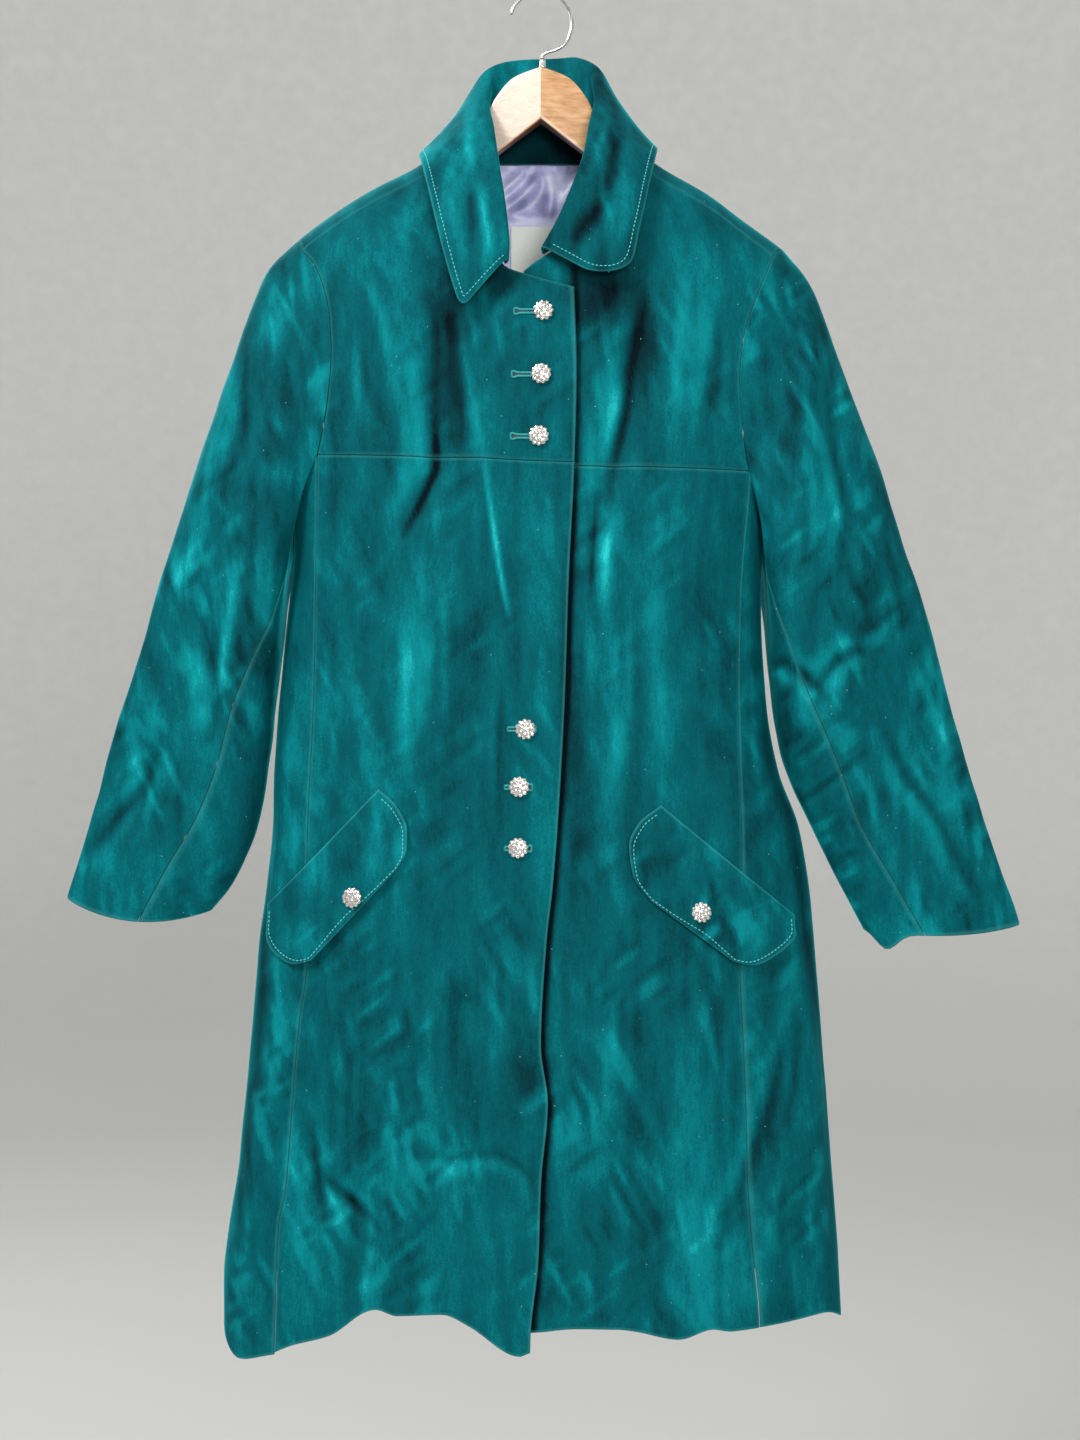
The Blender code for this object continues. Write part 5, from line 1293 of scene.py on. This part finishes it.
def add_button(name, base, normal, stones, setting):
    """Cluster of cut stones in a round cup."""
    side = np.cross((0.0, 0.0, 1.0), normal)
    side /= np.linalg.norm(side)
    up = np.cross(normal, side)
    points = []

    def place(radius, angle, height, x=0.0, y=0.0):
        points.append(base + side * (x + radius * math.cos(angle)) + up * (y + radius * math.sin(angle))
                      + normal * height)

    for radius, height in CUP:
        for a in circle(CUP_SIDES):
            scallop = 1.0 + SCALLOP_DEPTH * math.cos(CUP_SCALLOPS * a) * (radius > SCALLOPED_FROM)
            place(radius * scallop, a, height)
    faces = bands(len(CUP), CUP_SIDES)
    cup_faces = len(faces)
    n = STONE_SIDES
    for ring, count, size, foot in STONE_RINGS:
        for angle in circle(count) + 0.37 * sum(ord(letter) for letter in name):
            x = ring * math.cos(angle)
            y = ring * math.sin(angle)
            start = len(points)
            for share, rise in STONE_CUT:
                for k in range(n):
                    a = 2.0 * math.pi * (k + 0.5 * (share < 1.0)) / n
                    lean = ring * STONE_LEAN * math.cos(a) * size * share
                    place(size * share, a + angle, foot + STONE_HEIGHT * rise - lean, x, y)
            tip = len(points)
            place(0.0, 0.0, foot + STONE_HEIGHT, x, y)
            for low in range(start, tip - n, n):
                for k in range(n):
                    m = (k + 1) % n
                    faces += [(low + k, low + m, low + n + m), (low + k, low + n + m, low + n + k)]
            faces += [(tip - n + k, tip - n + (k + 1) % n, tip) for k in range(n)]
    obj = simple_mesh(name, points, faces, smooth_faces=False)
    obj.data.materials.append(stones)
    obj.data.materials.append(setting)
    marks = [1] * cup_faces + [0] * (len(faces) - cup_faces)
    obj.data.polygons.foreach_set("material_index", marks)
    return obj


# where each buttonhole begins and ends, its height, and the end that has the round eye
BUTTONHOLES = [
    ("buttonhole_1", -25.0, 4.0, -298.5, -1.0), ("buttonhole_2", -27.0, 2.0, -353.5, -1.0),
    ("buttonhole_3", -28.0, 0.0, -407.5, -1.0), ("buttonhole_4", -30.5, -3.0, -662.0, 1.0),
    ("buttonhole_5", -33.0, -6.0, -712.5, 1.0), ("buttonhole_6", -33.0, -6.5, -765.5, 1.0),
]


HOLE_POINTS = 220
HOLE_HALF_WIDTH = 1.5
THREAD_TURNS = 46
SLIT_LIFT = 0.22
THREAD_LIFT = 0.35


def add_buttonhole(name, first, last, z, eye, thread, slit_shade):
    """Worked keyhole buttonhole: a ring of thread stitches round a dark sheet in the cut, painted shade."""
    turn = circle(HOLE_POINTS)
    half = (last - first) / 2.0
    middle = (last + first) / 2.0
    across = np.clip(np.cos(turn) * 1.25, -1.0, 1.0) * (half - 1.6)
    swell = np.exp(-((across * eye - (half - 3.2)) / 2.4)**2)
    high = np.sin(turn) / np.maximum(np.abs(np.sin(turn)), 0.55) * HOLE_HALF_WIDTH * (1.0 + 0.75 * swell)
    line = front_points(middle + across, z + high, THREAD_LIFT)[0]
    ring = tube(name, line, 0.95 + 0.16 * np.sin(turn * THREAD_TURNS), 8, closed=True)
    ring.data.materials.append(thread)
    inner = front_points(middle + across * 0.97, z + high * 0.75, SLIT_LIFT)[0]
    centre = front_points(middle, z, SLIT_LIFT)[0]
    fan = [(k, (k + 1) % HOLE_POINTS, HOLE_POINTS) for k in range(HOLE_POINTS)]
    hole = simple_mesh(name + "_slit", np.concatenate([inner, centre]), fan)
    hole.data.materials.append(slit_shade)
    return ring, hole


def node_tree(name):
    material = bpy.data.materials.new(name)
    material.use_nodes = True
    tree = material.node_tree
    return material, tree, tree.nodes["Principled BSDF"]


def feed(tree, socket, value):
    """Links a socket to another one, or sets it."""
    if isinstance(value, bpy.types.NodeSocket):
        tree.links.new(value, socket)
    else:
        socket.default_value = value


def put(tree, kind, **values):
    """A node of a kind with its inputs set or linked."""
    node = tree.nodes.new(kind)
    for key, value in values.items():
        feed(tree, node.inputs[key], value)
    return node


def maths(tree, operation, a, b=0.0, c=0.0):
    node = tree.nodes.new("ShaderNodeMath")
    node.operation = operation
    for socket, value in zip(node.inputs, (a, b, c)):
        feed(tree, socket, value)
    return node.outputs[0]


def scaled(tree, a, b, c=0.0):
    """a times b, plus c."""
    return maths(tree, "MULTIPLY_ADD", a, b, c)


def blend_colour(tree, share, a, b):
    node = tree.nodes.new("ShaderNodeMix")
    node.data_type = "RGBA"
    for socket, value in zip((node.inputs[0], node.inputs[6], node.inputs[7]), (share, a, b)):
        feed(tree, socket, value)
    return node.outputs[2]


def ramp(tree, share, stops):
    node = tree.nodes.new("ShaderNodeValToRGB")
    tree.links.new(share, node.inputs[0])
    elements = node.color_ramp.elements
    while len(elements) < len(stops):
        elements.new(0.5)
    for element, (at, colour) in zip(elements, stops):
        element.position = at
        element.color = (*colour, 1.0)
    return node.outputs[0]


def noise(tree, size, stretch=(1.0, 1.0, 1.0), detail=3.0, offset=0.0):
    """Noise whose cells are that many metres wide, before they are stretched."""
    place = tree.nodes.new("ShaderNodeTexCoord").outputs["Object"]
    scale = tuple(1.0 / (size * s) for s in stretch)
    mapping = put(tree, "ShaderNodeMapping", Vector=place, Scale=scale, Location=(offset, offset, offset))
    return put(tree, "ShaderNodeTexNoise", Scale=1.0, Detail=detail, Vector=mapping.outputs[0]).outputs["Fac"]


def value_of(tree, name):
    node = tree.nodes.new("ShaderNodeAttribute")
    node.attribute_name = name
    return node.outputs["Fac"]


def finish(tree, shader, colour, rough, height, strength, depth, constants=()):
    """Feeds a shader: colour, roughness, a bump of that depth in metres, and constant values by name."""
    tree.links.new(colour, shader.inputs["Base Color"])
    tree.links.new(rough, shader.inputs["Roughness"])
    bump = put(tree, "ShaderNodeBump", Strength=strength, Distance=depth, Height=height)
    tree.links.new(bump.outputs[0], shader.inputs["Normal"])
    for name, value in constants:
        shader.inputs[name].default_value = value


VELVET_STOPS = [(0.0, (0.0002, 0.005, 0.008)), (0.25, (0.0004, 0.032, 0.040)), (0.5, (0.0004, 0.088, 0.104)),
                (0.75, (0.0015, 0.200, 0.220)), (1.0, (0.0180, 0.480, 0.500))]


def velvet_material():
    """Pile: the attribute of pile tone and painted highlight and shade, with streaks, grain and clouds of
    noise, picks its place on the ramp.
    """
    material, tree, shader = node_tree("velvet")
    streak = noise(tree, 0.0024, (1.0, 1.0, 4.0), 5.0)
    grain = noise(tree, 0.0011, (1.0, 1.0, 1.6), 2.0, 3.0)
    cloud = noise(tree, 0.035, (1.0, 1.0, 1.8), 3.0, 7.0)
    share = scaled(tree, value_of(tree, "nap_and_painted_shading"), 0.36, 0.45)
    for value, weight in ((streak, 0.20), (grain, 0.26), (cloud, 0.22)):
        share = scaled(tree, maths(tree, "SUBTRACT", value, 0.5), weight, share)
    rim = maths(tree, "MULTIPLY", value_of(tree, "rim"), 0.22)
    colour = blend_colour(tree, rim, ramp(tree, share, VELVET_STOPS), (0.07, 0.42, 0.42, 1.0))
    lint = put(tree, "ShaderNodeTexVoronoi", Scale=95.0,
               Vector=tree.nodes.new("ShaderNodeTexCoord").outputs["Object"])
    speck = maths(tree, "LESS_THAN", lint.outputs["Distance"], 0.045)
    rare = maths(tree, "GREATER_THAN", noise(tree, 0.012, (1, 1, 1), 1.0, 11.0), 0.56)
    speck = maths(tree, "MULTIPLY", maths(tree, "MULTIPLY", speck, rare), 0.55)
    colour = blend_colour(tree, speck, colour, (0.30, 0.55, 0.55, 1.0))
    height = maths(tree, "ADD", maths(tree, "MULTIPLY", streak, 0.7), maths(tree, "MULTIPLY", grain, 0.5))
    finish(tree, shader, colour, scaled(tree, grain, 0.2, 0.66), height, 0.35, 0.0006,
           [("Specular IOR Level", 0.04), ("Sheen Weight", 0.5), ("Sheen Roughness", 0.28),
            ("Sheen Tint", (0.02, 0.80, 0.88, 1.0))])
    return material


def satin_material():
    material, tree, shader = node_tree("satin")
    shade = noise(tree, 0.02, (1.0, 1.0, 0.6))
    threads = noise(tree, 0.0006, (8.0, 1.0, 1.0), 2.0)
    share = scaled(tree, threads, 0.3, maths(tree, "MULTIPLY", shade, 0.8))
    # the attribute brings the painted highlight and shade of the lining's folds
    share = scaled(tree, value_of(tree, "nap_and_painted_shading"), 0.7, share)
    colour = ramp(tree, share,
                  [(0.2, (0.24, 0.25, 0.48)), (0.5, (0.46, 0.47, 0.80)), (0.85, (0.78, 0.79, 0.98))])
    finish(tree, shader, colour, scaled(tree, threads, 0.2, 0.28), threads, 0.2, 0.0004,
           [("Sheen Weight", 0.2), ("Sheen Roughness", 0.4)])
    return material


def label_material():
    material, tree, shader = node_tree("label_cloth")
    warp = noise(tree, 0.0005, (1.0, 1.0, 10.0), 2.0)
    weft = noise(tree, 0.0005, (10.0, 1.0, 1.0), 2.0, 5.0)
    weave = maths(tree, "ADD", maths(tree, "MULTIPLY", warp, 0.5), maths(tree, "MULTIPLY", weft, 0.5))
    colour = ramp(tree, weave, [(0.3, (0.80, 0.84, 0.78)), (0.7, (0.96, 0.99, 0.95))])
    finish(tree, shader, colour, scaled(tree, weave, 0.3, 0.4), weave, 0.3, 0.0003)
    return material


def wood_material():
    """Varnished wood, with a pale highlight painted on the face turned to -X, and dark underneath."""
    material, tree, shader = node_tree("wood")
    grain = noise(tree, 0.004, (16.0, 1.0, 1.0), 5.0)
    pores = noise(tree, 0.0012, (10.0, 1.0, 1.0), 2.0, 4.0)
    share = maths(tree, "ADD", maths(tree, "MULTIPLY", grain, 0.75), maths(tree, "MULTIPLY", pores, 0.25))
    colour = ramp(tree, share,
                  [(0.3, (0.34, 0.16, 0.06)), (0.5, (0.54, 0.29, 0.13)), (0.72, (0.66, 0.42, 0.22))])
    way = put(tree, "ShaderNodeSeparateXYZ", Vector=tree.nodes.new("ShaderNodeNewGeometry").outputs["Normal"])
    under = maths(tree, "MULTIPLY", maths(tree, "LESS_THAN", way.outputs["Z"], -0.55), 0.85)
    # painted highlight on the face turned to -X
    painted_highlight = maths(tree, "MULTIPLY", maths(tree, "LESS_THAN", way.outputs["X"], -0.06),
                   scaled(tree, pores, 0.5, 0.42))
    colour = blend_colour(tree, painted_highlight, colour, (0.72, 0.67, 0.60, 1.0))
    colour = blend_colour(tree, under, colour, (0.20, 0.075, 0.03, 1.0))
    finish(tree, shader, colour, scaled(tree, pores, 0.25, 0.22), pores, 0.15, 0.0003,
           [("Coat Weight", 0.35), ("Coat Roughness", 0.25)])
    return material


def metal_material(name, colour, worn, roughness):
    material, tree, shader = node_tree(name)
    patches = noise(tree, 0.004)
    fine = noise(tree, 0.0007, (1.0, 1.0, 1.0), 2.0, 2.0)
    finish(tree, shader, ramp(tree, patches, [(0.35, worn), (0.65, colour)]),
           scaled(tree, fine, 0.15, roughness), fine, 0.08, 0.0002, [("Metallic", 1.0)])
    return material


def thread_material(name, low, high):
    material, tree, shader = node_tree(name)
    strands = noise(tree, 0.0005)
    finish(tree, shader, ramp(tree, strands, [(0.3, low), (0.7, high)]),
           scaled(tree, strands, 0.2, 0.5), strands, 0.5, 0.0003)
    return material


def dress(obj, material, slot_name, *nodes):
    """Gives a piece its material, and lets it stand for CAD nodes on the one body."""
    if material is not None:
        obj.data.materials.append(material)
    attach(obj, "root")
    if nodes:
        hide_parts(*nodes)
    return obj


velvet = velvet_material()
satin = satin_material()
label_cloth = label_material()
wood = wood_material()
steel = metal_material("steel", (0.72, 0.72, 0.74), (0.50, 0.50, 0.52), 0.10)
stones = metal_material("rhinestone", (0.95, 0.95, 0.93), (0.80, 0.78, 0.74), 0.05)
setting = metal_material("setting", (0.72, 0.67, 0.62), (0.50, 0.44, 0.40), 0.25)
thread = thread_material("thread", (0.004, 0.17, 0.18), (0.02, 0.36, 0.37))
stitch_thread = thread_material("stitch_thread", (0.05, 0.40, 0.41), (0.16, 0.60, 0.60))
# near black for the cut in each buttonhole: painted shade
slit_shade = thread_material("slit_shade", (0.001, 0.012, 0.014), (0.003, 0.03, 0.035))

grids = body_grids()


def under_edge_shade(grid):
    """Painted shadow: the under front is darkened close to the over front's edge, as the shadow of that edge.
    """
    depth = 0.9 + 0.7 * ease((-400.0 - grid[..., 2]) / 100.0)
    return depth * np.exp(-((grid[..., 0] - edge_x(grid[..., 2]) - 1.0) / 3.6)**2)


def add_cloth(name, grid, outward, seams):
    out = oriented(grid, outward)
    lift, glow = top_lift(grid, out)
    if name in ("yoke_left", "front_left"):
        glow = glow - under_edge_shade(grid)
    return dress(shell(name, grid + out * lift[..., None], out, CLOTH, seams, glow), velvet, "velvet", name)


def flat_size(grid):
    """Greatest length each way along the cloth, and its area, in metres."""
    down, across = (run_lengths(grid, axis).max() * MM for axis in (0, 1))
    a = grid[1:, 1:] - grid[:-1, :-1]
    b = grid[1:, :-1] - grid[:-1, 1:]
    return across, down, np.linalg.norm(np.cross(a, b), axis=-1).sum() / 2.0 * MM * MM


def declare(obj, grid):
    across, down, area = flat_size(grid)
    print("FLAT", obj.name, round(across, 3), round(down, 3), round(area, 4))


def add_seam(name, grid, out, inset, first_step):
    """Stitching that far inside the edges of a grid laid out as [along, across]."""
    pick = inset_line(grid, inset, first_step)
    return dress(add_stitches(name, pick(grid), pick(out)), stitch_thread, "velvet")


# part of the body, and the edges of its grid that are seams
BODY_PARTS = [("yoke_", ("low", "high", "first")), ("front_", ("high", "first")),
              ("side_", ("high", "first", "last"))]


def add_body(side):
    for part_name, seams in BODY_PARTS:
        name = part_name + side
        outward = WAY_OUT[side] if part_name == "side_" else FRONT
        declare(add_cloth(name, grids[name], outward, seams), grids[name])


def add_sleeve(side):
    top, under = sleeve_grids(side, grids, SLEEVE_ROWS)
    top_out, under_out = tube_normals(top, under)
    if np.dot(top_out[top_out.shape[0] // 2, top_out.shape[1] // 2], WAY_OUT[side]) < 0.0:
        top_out, under_out = -top_out, -under_out
    calm = ease(SLEEVE_ROWS / 0.9)[:, None]
    for name, grid, out in (("sleeve_top_" + side, top, top_out), ("sleeve_under_" + side, under, under_out)):
        lift, glow = relief(grid, out, SLEEVE_CREASES)
        uneven = 0.65 * lattice(grid, (40, 40, 60), 3) + 0.35 * lattice(grid, (16, 16, 24), 5)
        glow = glow + 0.34 * lattice(grid, (20, 20, 90), 7) + 0.2 * lattice(grid, (50, 50, 60), 11)
        glow = glow + 0.24 * lattice(grid, (7, 7, 28), 13) + 0.9 * crush(grid)
        moved = grid + out * ((lift + uneven * UNEVEN_SLEEVE) * calm)[..., None]
        obj = shell(name, moved, out, CLOTH, ("low", "first", "last"), glow)
        dress(obj, velvet, "velvet", name)
        declare(obj, grid)


def add_flap(side):
    """A flap and its stitching; returns its outer face and the directions out of it."""
    grid = flap_grid(side, FLAP_COLUMNS, FLAP_ROWS)
    out = oriented(grid, FRONT)
    lift, glow = cloth_lift(grid, out)
    glow = glow + 0.3 * lattice(grid, (16, 16, 34), 31) + 0.5 * crush(grid)
    moved = grid + out * lift[..., None]
    obj = dress(shell("flap_" + side, moved, out, FLAP_CLOTH, (), glow), velvet, "velvet", "flap_" + side)
    seam = add_seam("flap_%s_stitching" % side, np.swapaxes(moved, 0, 1), np.swapaxes(out, 0, 1), 5.0, 3)
    declare(obj, grid)
    return moved, out


def add_collar():
    collar = collar_grid(grids, COLLAR_STATIONS, STAND_STEPS, FALL_STEPS)
    collar = round_corner(round_corner(collar, LEFT_POINT_ROUND, False), RIGHT_CORNER_ROUND, True)
    out = oriented(collar, FRONT, (0.2, 0.7))
    # the stand's foot stays where it is sewn; only the fall is uneven
    fall_share = np.concatenate([np.zeros(len(STAND_STEPS)), FALL_STEPS[1:]])[None, :]
    lift, glow = relief(collar, out, COLLAR_CREASES)
    collar = collar + out * COLLAR_CLOTH
    uneven = 0.6 * lattice(collar, (30, 30, 40), 3) + 0.4 * lattice(collar, (13, 13, 18), 5)
    # painted light on the collar's -X half, painted shade on its +X half
    shade = 0.22 - 0.42 * ease((collar[..., 0] + 10.0) / 40.0)
    glow = 0.8 * glow + shade + 0.5 * lattice(collar, (13, 30, 80), 7) + 0.3 * lattice(collar, (6, 7, 30), 13)
    lift = (np.maximum(lift, -2.0) + uneven * UNEVEN_COLLAR) * ease(fall_share * 2.0)
    moved = collar + out * lift[..., None]
    obj = dress(shell("collar", moved, out, COLLAR_CLOTH, (), glow), velvet, "velvet", "collar")
    seam = add_seam("collar_stitching", moved, out, 6.0, len(STAND_STEPS) + 2)
    declare(obj, collar)


def add_facing():
    facing = inside_back(FACING_HALF - FACING_NARROW, FACING_HALF, lambda x: neck_top(x) - 1.0, FACING_BASE,
                         61, 25, FACING_STEP)
    out = oriented(facing, FRONT)
    # the facing is darkened throughout: painted shade inside the back neck
    glow = 0.3 * lattice(facing, (20, 20, 20), 7) - 0.9
    obj = shell("neck_facing", facing + out * LINING_CLOTH, out, LINING_CLOTH, (), glow)
    declare(dress(obj, velvet, "velvet", "neck_facing"), facing)


def add_lining():
    """Folded satin, flat under the label and ruffled along its top, with painted highlight and shade on its
    folds.
    """
    lining = inside_back(LINING_HALF - LINING_NARROW, LINING_HALF, lambda x: LINING_TOP + 0.0 * x,
                         LINING_BASE, 121, 101, LINING_STEP)
    out = oriented(lining, FRONT)
    lift, glow = relief(lining, out, LINING_FOLDS)
    below = LINING_TOP - lining[..., 2]
    ruffle = 2.0 * np.maximum(lattice(lining, (9, 9, 16), 17), 0.0) * np.exp(-below / 14.0)
    clear = ease(np.hypot(np.maximum(np.abs(lining[..., 0] + 5.5) - 24.0, 0.0),
                          np.maximum(np.abs(lining[..., 2] + 223.5) - 27.0, 0.0)) / 14.0)
    lift = lift * clear + ruffle
    # painted highlight on the folds and painted shade between them, with some random tone
    glow = (glow - 0.22 + 0.5 * lattice(lining, (9, 9, 20), 33)) * clear
    obj = shell("lining", lining + out * (lift + LINING_CLOTH)[..., None], out, LINING_CLOTH, (), glow)
    declare(dress(obj, satin, "satin", "lining"), lining)


def add_label():
    first, last, high, low = LABEL_BOX
    half = (last - first) / 2.0
    label = inside_back(half, half, lambda x: high + 0.0 * x, low, 33, 37,
                        LINING_STEP + LINING_CLOTH + LAY_GAP, (first + last) / 2.0)
    out = oriented(label, FRONT)
    crinkle = 0.35 * np.maximum(lattice(label, (7, 7, 14), 23), 0.0)
    obj = shell("label", label + out * (LABEL_CLOTH + crinkle)[..., None], out, LABEL_CLOTH, (), crinkle)
    declare(dress(obj, label_cloth, "label_cloth", "label"), label)


flaps = {}
for side in ("right", "left"):
    add_body(side)
    add_sleeve(side)
    flaps["button_flap_" + side] = add_flap(side)
back = add_cloth("back", grids["back"], REAR, ("high", "first", "last"))
declare(back, grids["back"])
add_collar()
add_facing()
add_lining()
add_label()

for name, x, z, kind in BUTTONS:
    if kind == "over":
        point, normal = (rows[0] for rows in front_points(x, z, LAY_GAP))
    else:
        face, out = flaps[name]
        at = np.unravel_index(np.argmin((face[..., 0] - x)**2 + (face[..., 2] - z)**2), out.shape[:2])
        normal = out[at]
        point = face[at] + normal * LAY_GAP
    dress(add_button(name, point, normal, stones, setting), None, "rhinestone", name)
for row in BUTTONHOLES:
    for piece in add_buttonhole(*row, thread, slit_shade):
        dress(piece, None, "velvet")

HOOK_RINGS = 150
HOOK_TIP = [0.4, 0.8, 0.95, 1.0]       # of the wire's radius, from its very end
wire = hook_path()
along = length_shares(wire)
shares = np.linspace(0.0, 1.0, HOOK_RINGS)
line = np.stack([smooth(along, wire[:, k], shares) for k in range(3)], axis=-1)
radii = np.full(HOOK_RINGS, WIRE_RADIUS)
radii[:len(HOOK_TIP)] *= HOOK_TIP
dress(tube("hanger_hook", line, radii, 20), steel, "steel", "hanger_hook")

# radius, height above its foot
FERRULE = [(0.5, 0.0), (2.9, 0.0), (3.1, 0.3), (3.1, 1.8), (2.7, 2.2), (2.7, 5.6), (2.5, 6.6), (2.1, 7.4),
           (1.7, 7.8)]
points = np.array(turned(FERRULE, 40)) + (HOOK_SHANK[-1][0], 0.0, FERRULE_BASE)
dress(simple_mesh("hanger_ferrule", points, bands(len(FERRULE), 40)), steel, "steel", "hanger_ferrule")

# hanger bar, with a rounder section than its solid and the same edges
BAR_SIDES = 28
BAR_TOP_GAP = 0.2
BAR_SQUARENESS = (0.16, 0.14)          # powers of the section across and upwards
BAR_THINNING = 0.98
ridge = grids["back"][len(BODY_ROWS) - 1 + RIDGE_ROW]
points = []
for x in np.unique(np.concatenate([np.linspace(-HANGER_END, HANGER_END, 137), [0.0, -0.6, 0.6]])):
    thick, middle = (float(column(HANGER_SECTION, k, abs(x))) for k in (2, 3))
    top = hanger_top(x, ridge) - BAR_TOP_GAP
    low = hanger_low(x, top)
    for a in circle(BAR_SIDES) + math.pi / BAR_SIDES:
        across, rise = (math.copysign(abs(value)**power, value)
                        for value, power in zip((math.cos(a), math.sin(a)), BAR_SQUARENESS))
        points.append((x, middle + thick * across * BAR_THINNING,
                       (top + low) / 2.0 + (top - low) / 2.0 * rise))
dress(bar("hanger_wood", points, BAR_SIDES), wood, "wood", "hanger_wood")

# pale floor that sweeps up into a wall all round, far from the coat: radius, height, both in metres
SWEEP = [(0.01, -1.9), (3.2, -1.9), (4.0, -1.86), (4.6, -1.66), (5.0, -1.3), (5.2, -0.8), (5.2, 1.0),
         (5.2, 2.6)]
SWEEP_SIDES = 96
points = np.array(turned(SWEEP, SWEEP_SIDES)) / MM
floor = simple_mesh("floor", points, bands(len(SWEEP), SWEEP_SIDES) + [tuple(range(SWEEP_SIDES - 1, -1, -1))])
pale, tree, shader = node_tree("pale_floor")
facing = put(tree, "ShaderNodeSeparateXYZ", Vector=tree.nodes.new("ShaderNodeNewGeometry").outputs["Normal"])
colour = ramp(tree, noise(tree, 0.05), [(0.3, (0.64, 0.64, 0.625)), (0.7, (0.68, 0.68, 0.66))])
# the flat floor is painted darker than the wall it sweeps up into: painted shade against the stronger light
# on the floor
colour = blend_colour(tree, maths(tree, "ABSOLUTE", facing.outputs["Z"]), colour, (0.52, 0.52, 0.51, 1.0))
tree.links.new(colour, shader.inputs["Base Color"])
shader.inputs["Roughness"].default_value = 0.9
floor.data.materials.append(pale)
floor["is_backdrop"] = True

world = bpy.data.worlds.new("soft_light")
bpy.context.scene.world = world
world.use_nodes = True
world.node_tree.nodes["Background"].inputs[0].default_value = (0.80, 0.80, 0.79, 1.0)
world.node_tree.nodes["Background"].inputs[1].default_value = 1.0


def add_light(name, place, aim, size, power):
    light = bpy.data.lights.new(name, "AREA")
    light.shape = "DISK"
    light.size = size
    light.energy = power
    lamp = add_object(name, light)
    lamp.location = place
    lamp.rotation_euler = (Vector(aim) - Vector(place)).to_track_quat("-Z", "Y").to_euler()


add_light("key", (-1.7, -1.9, 1.5), (0.0, 0.0, -0.5), 0.9, 84.0)
add_light("fill", (0.5, -2.7, -0.2), (0.0, 0.0, -0.5), 0.8, 40.0)
add_light("rear", (-1.6, 2.4, 1.2), (0.0, 0.0, -0.6), 1.8, 45.0)

lens = bpy.data.cameras.new("camera")
lens.sensor_fit = "VERTICAL"
lens.angle = 2.0 * math.atan(648.0 / 1660.0)
camera = add_object("camera", lens)
camera.location = (-0.0009, -1.66, -0.654)
camera.rotation_euler = (math.pi / 2.0, 0.0, 0.0)
bpy.context.scene.camera = camera
bpy.context.scene.view_settings.view_transform = "Standard"

low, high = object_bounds()
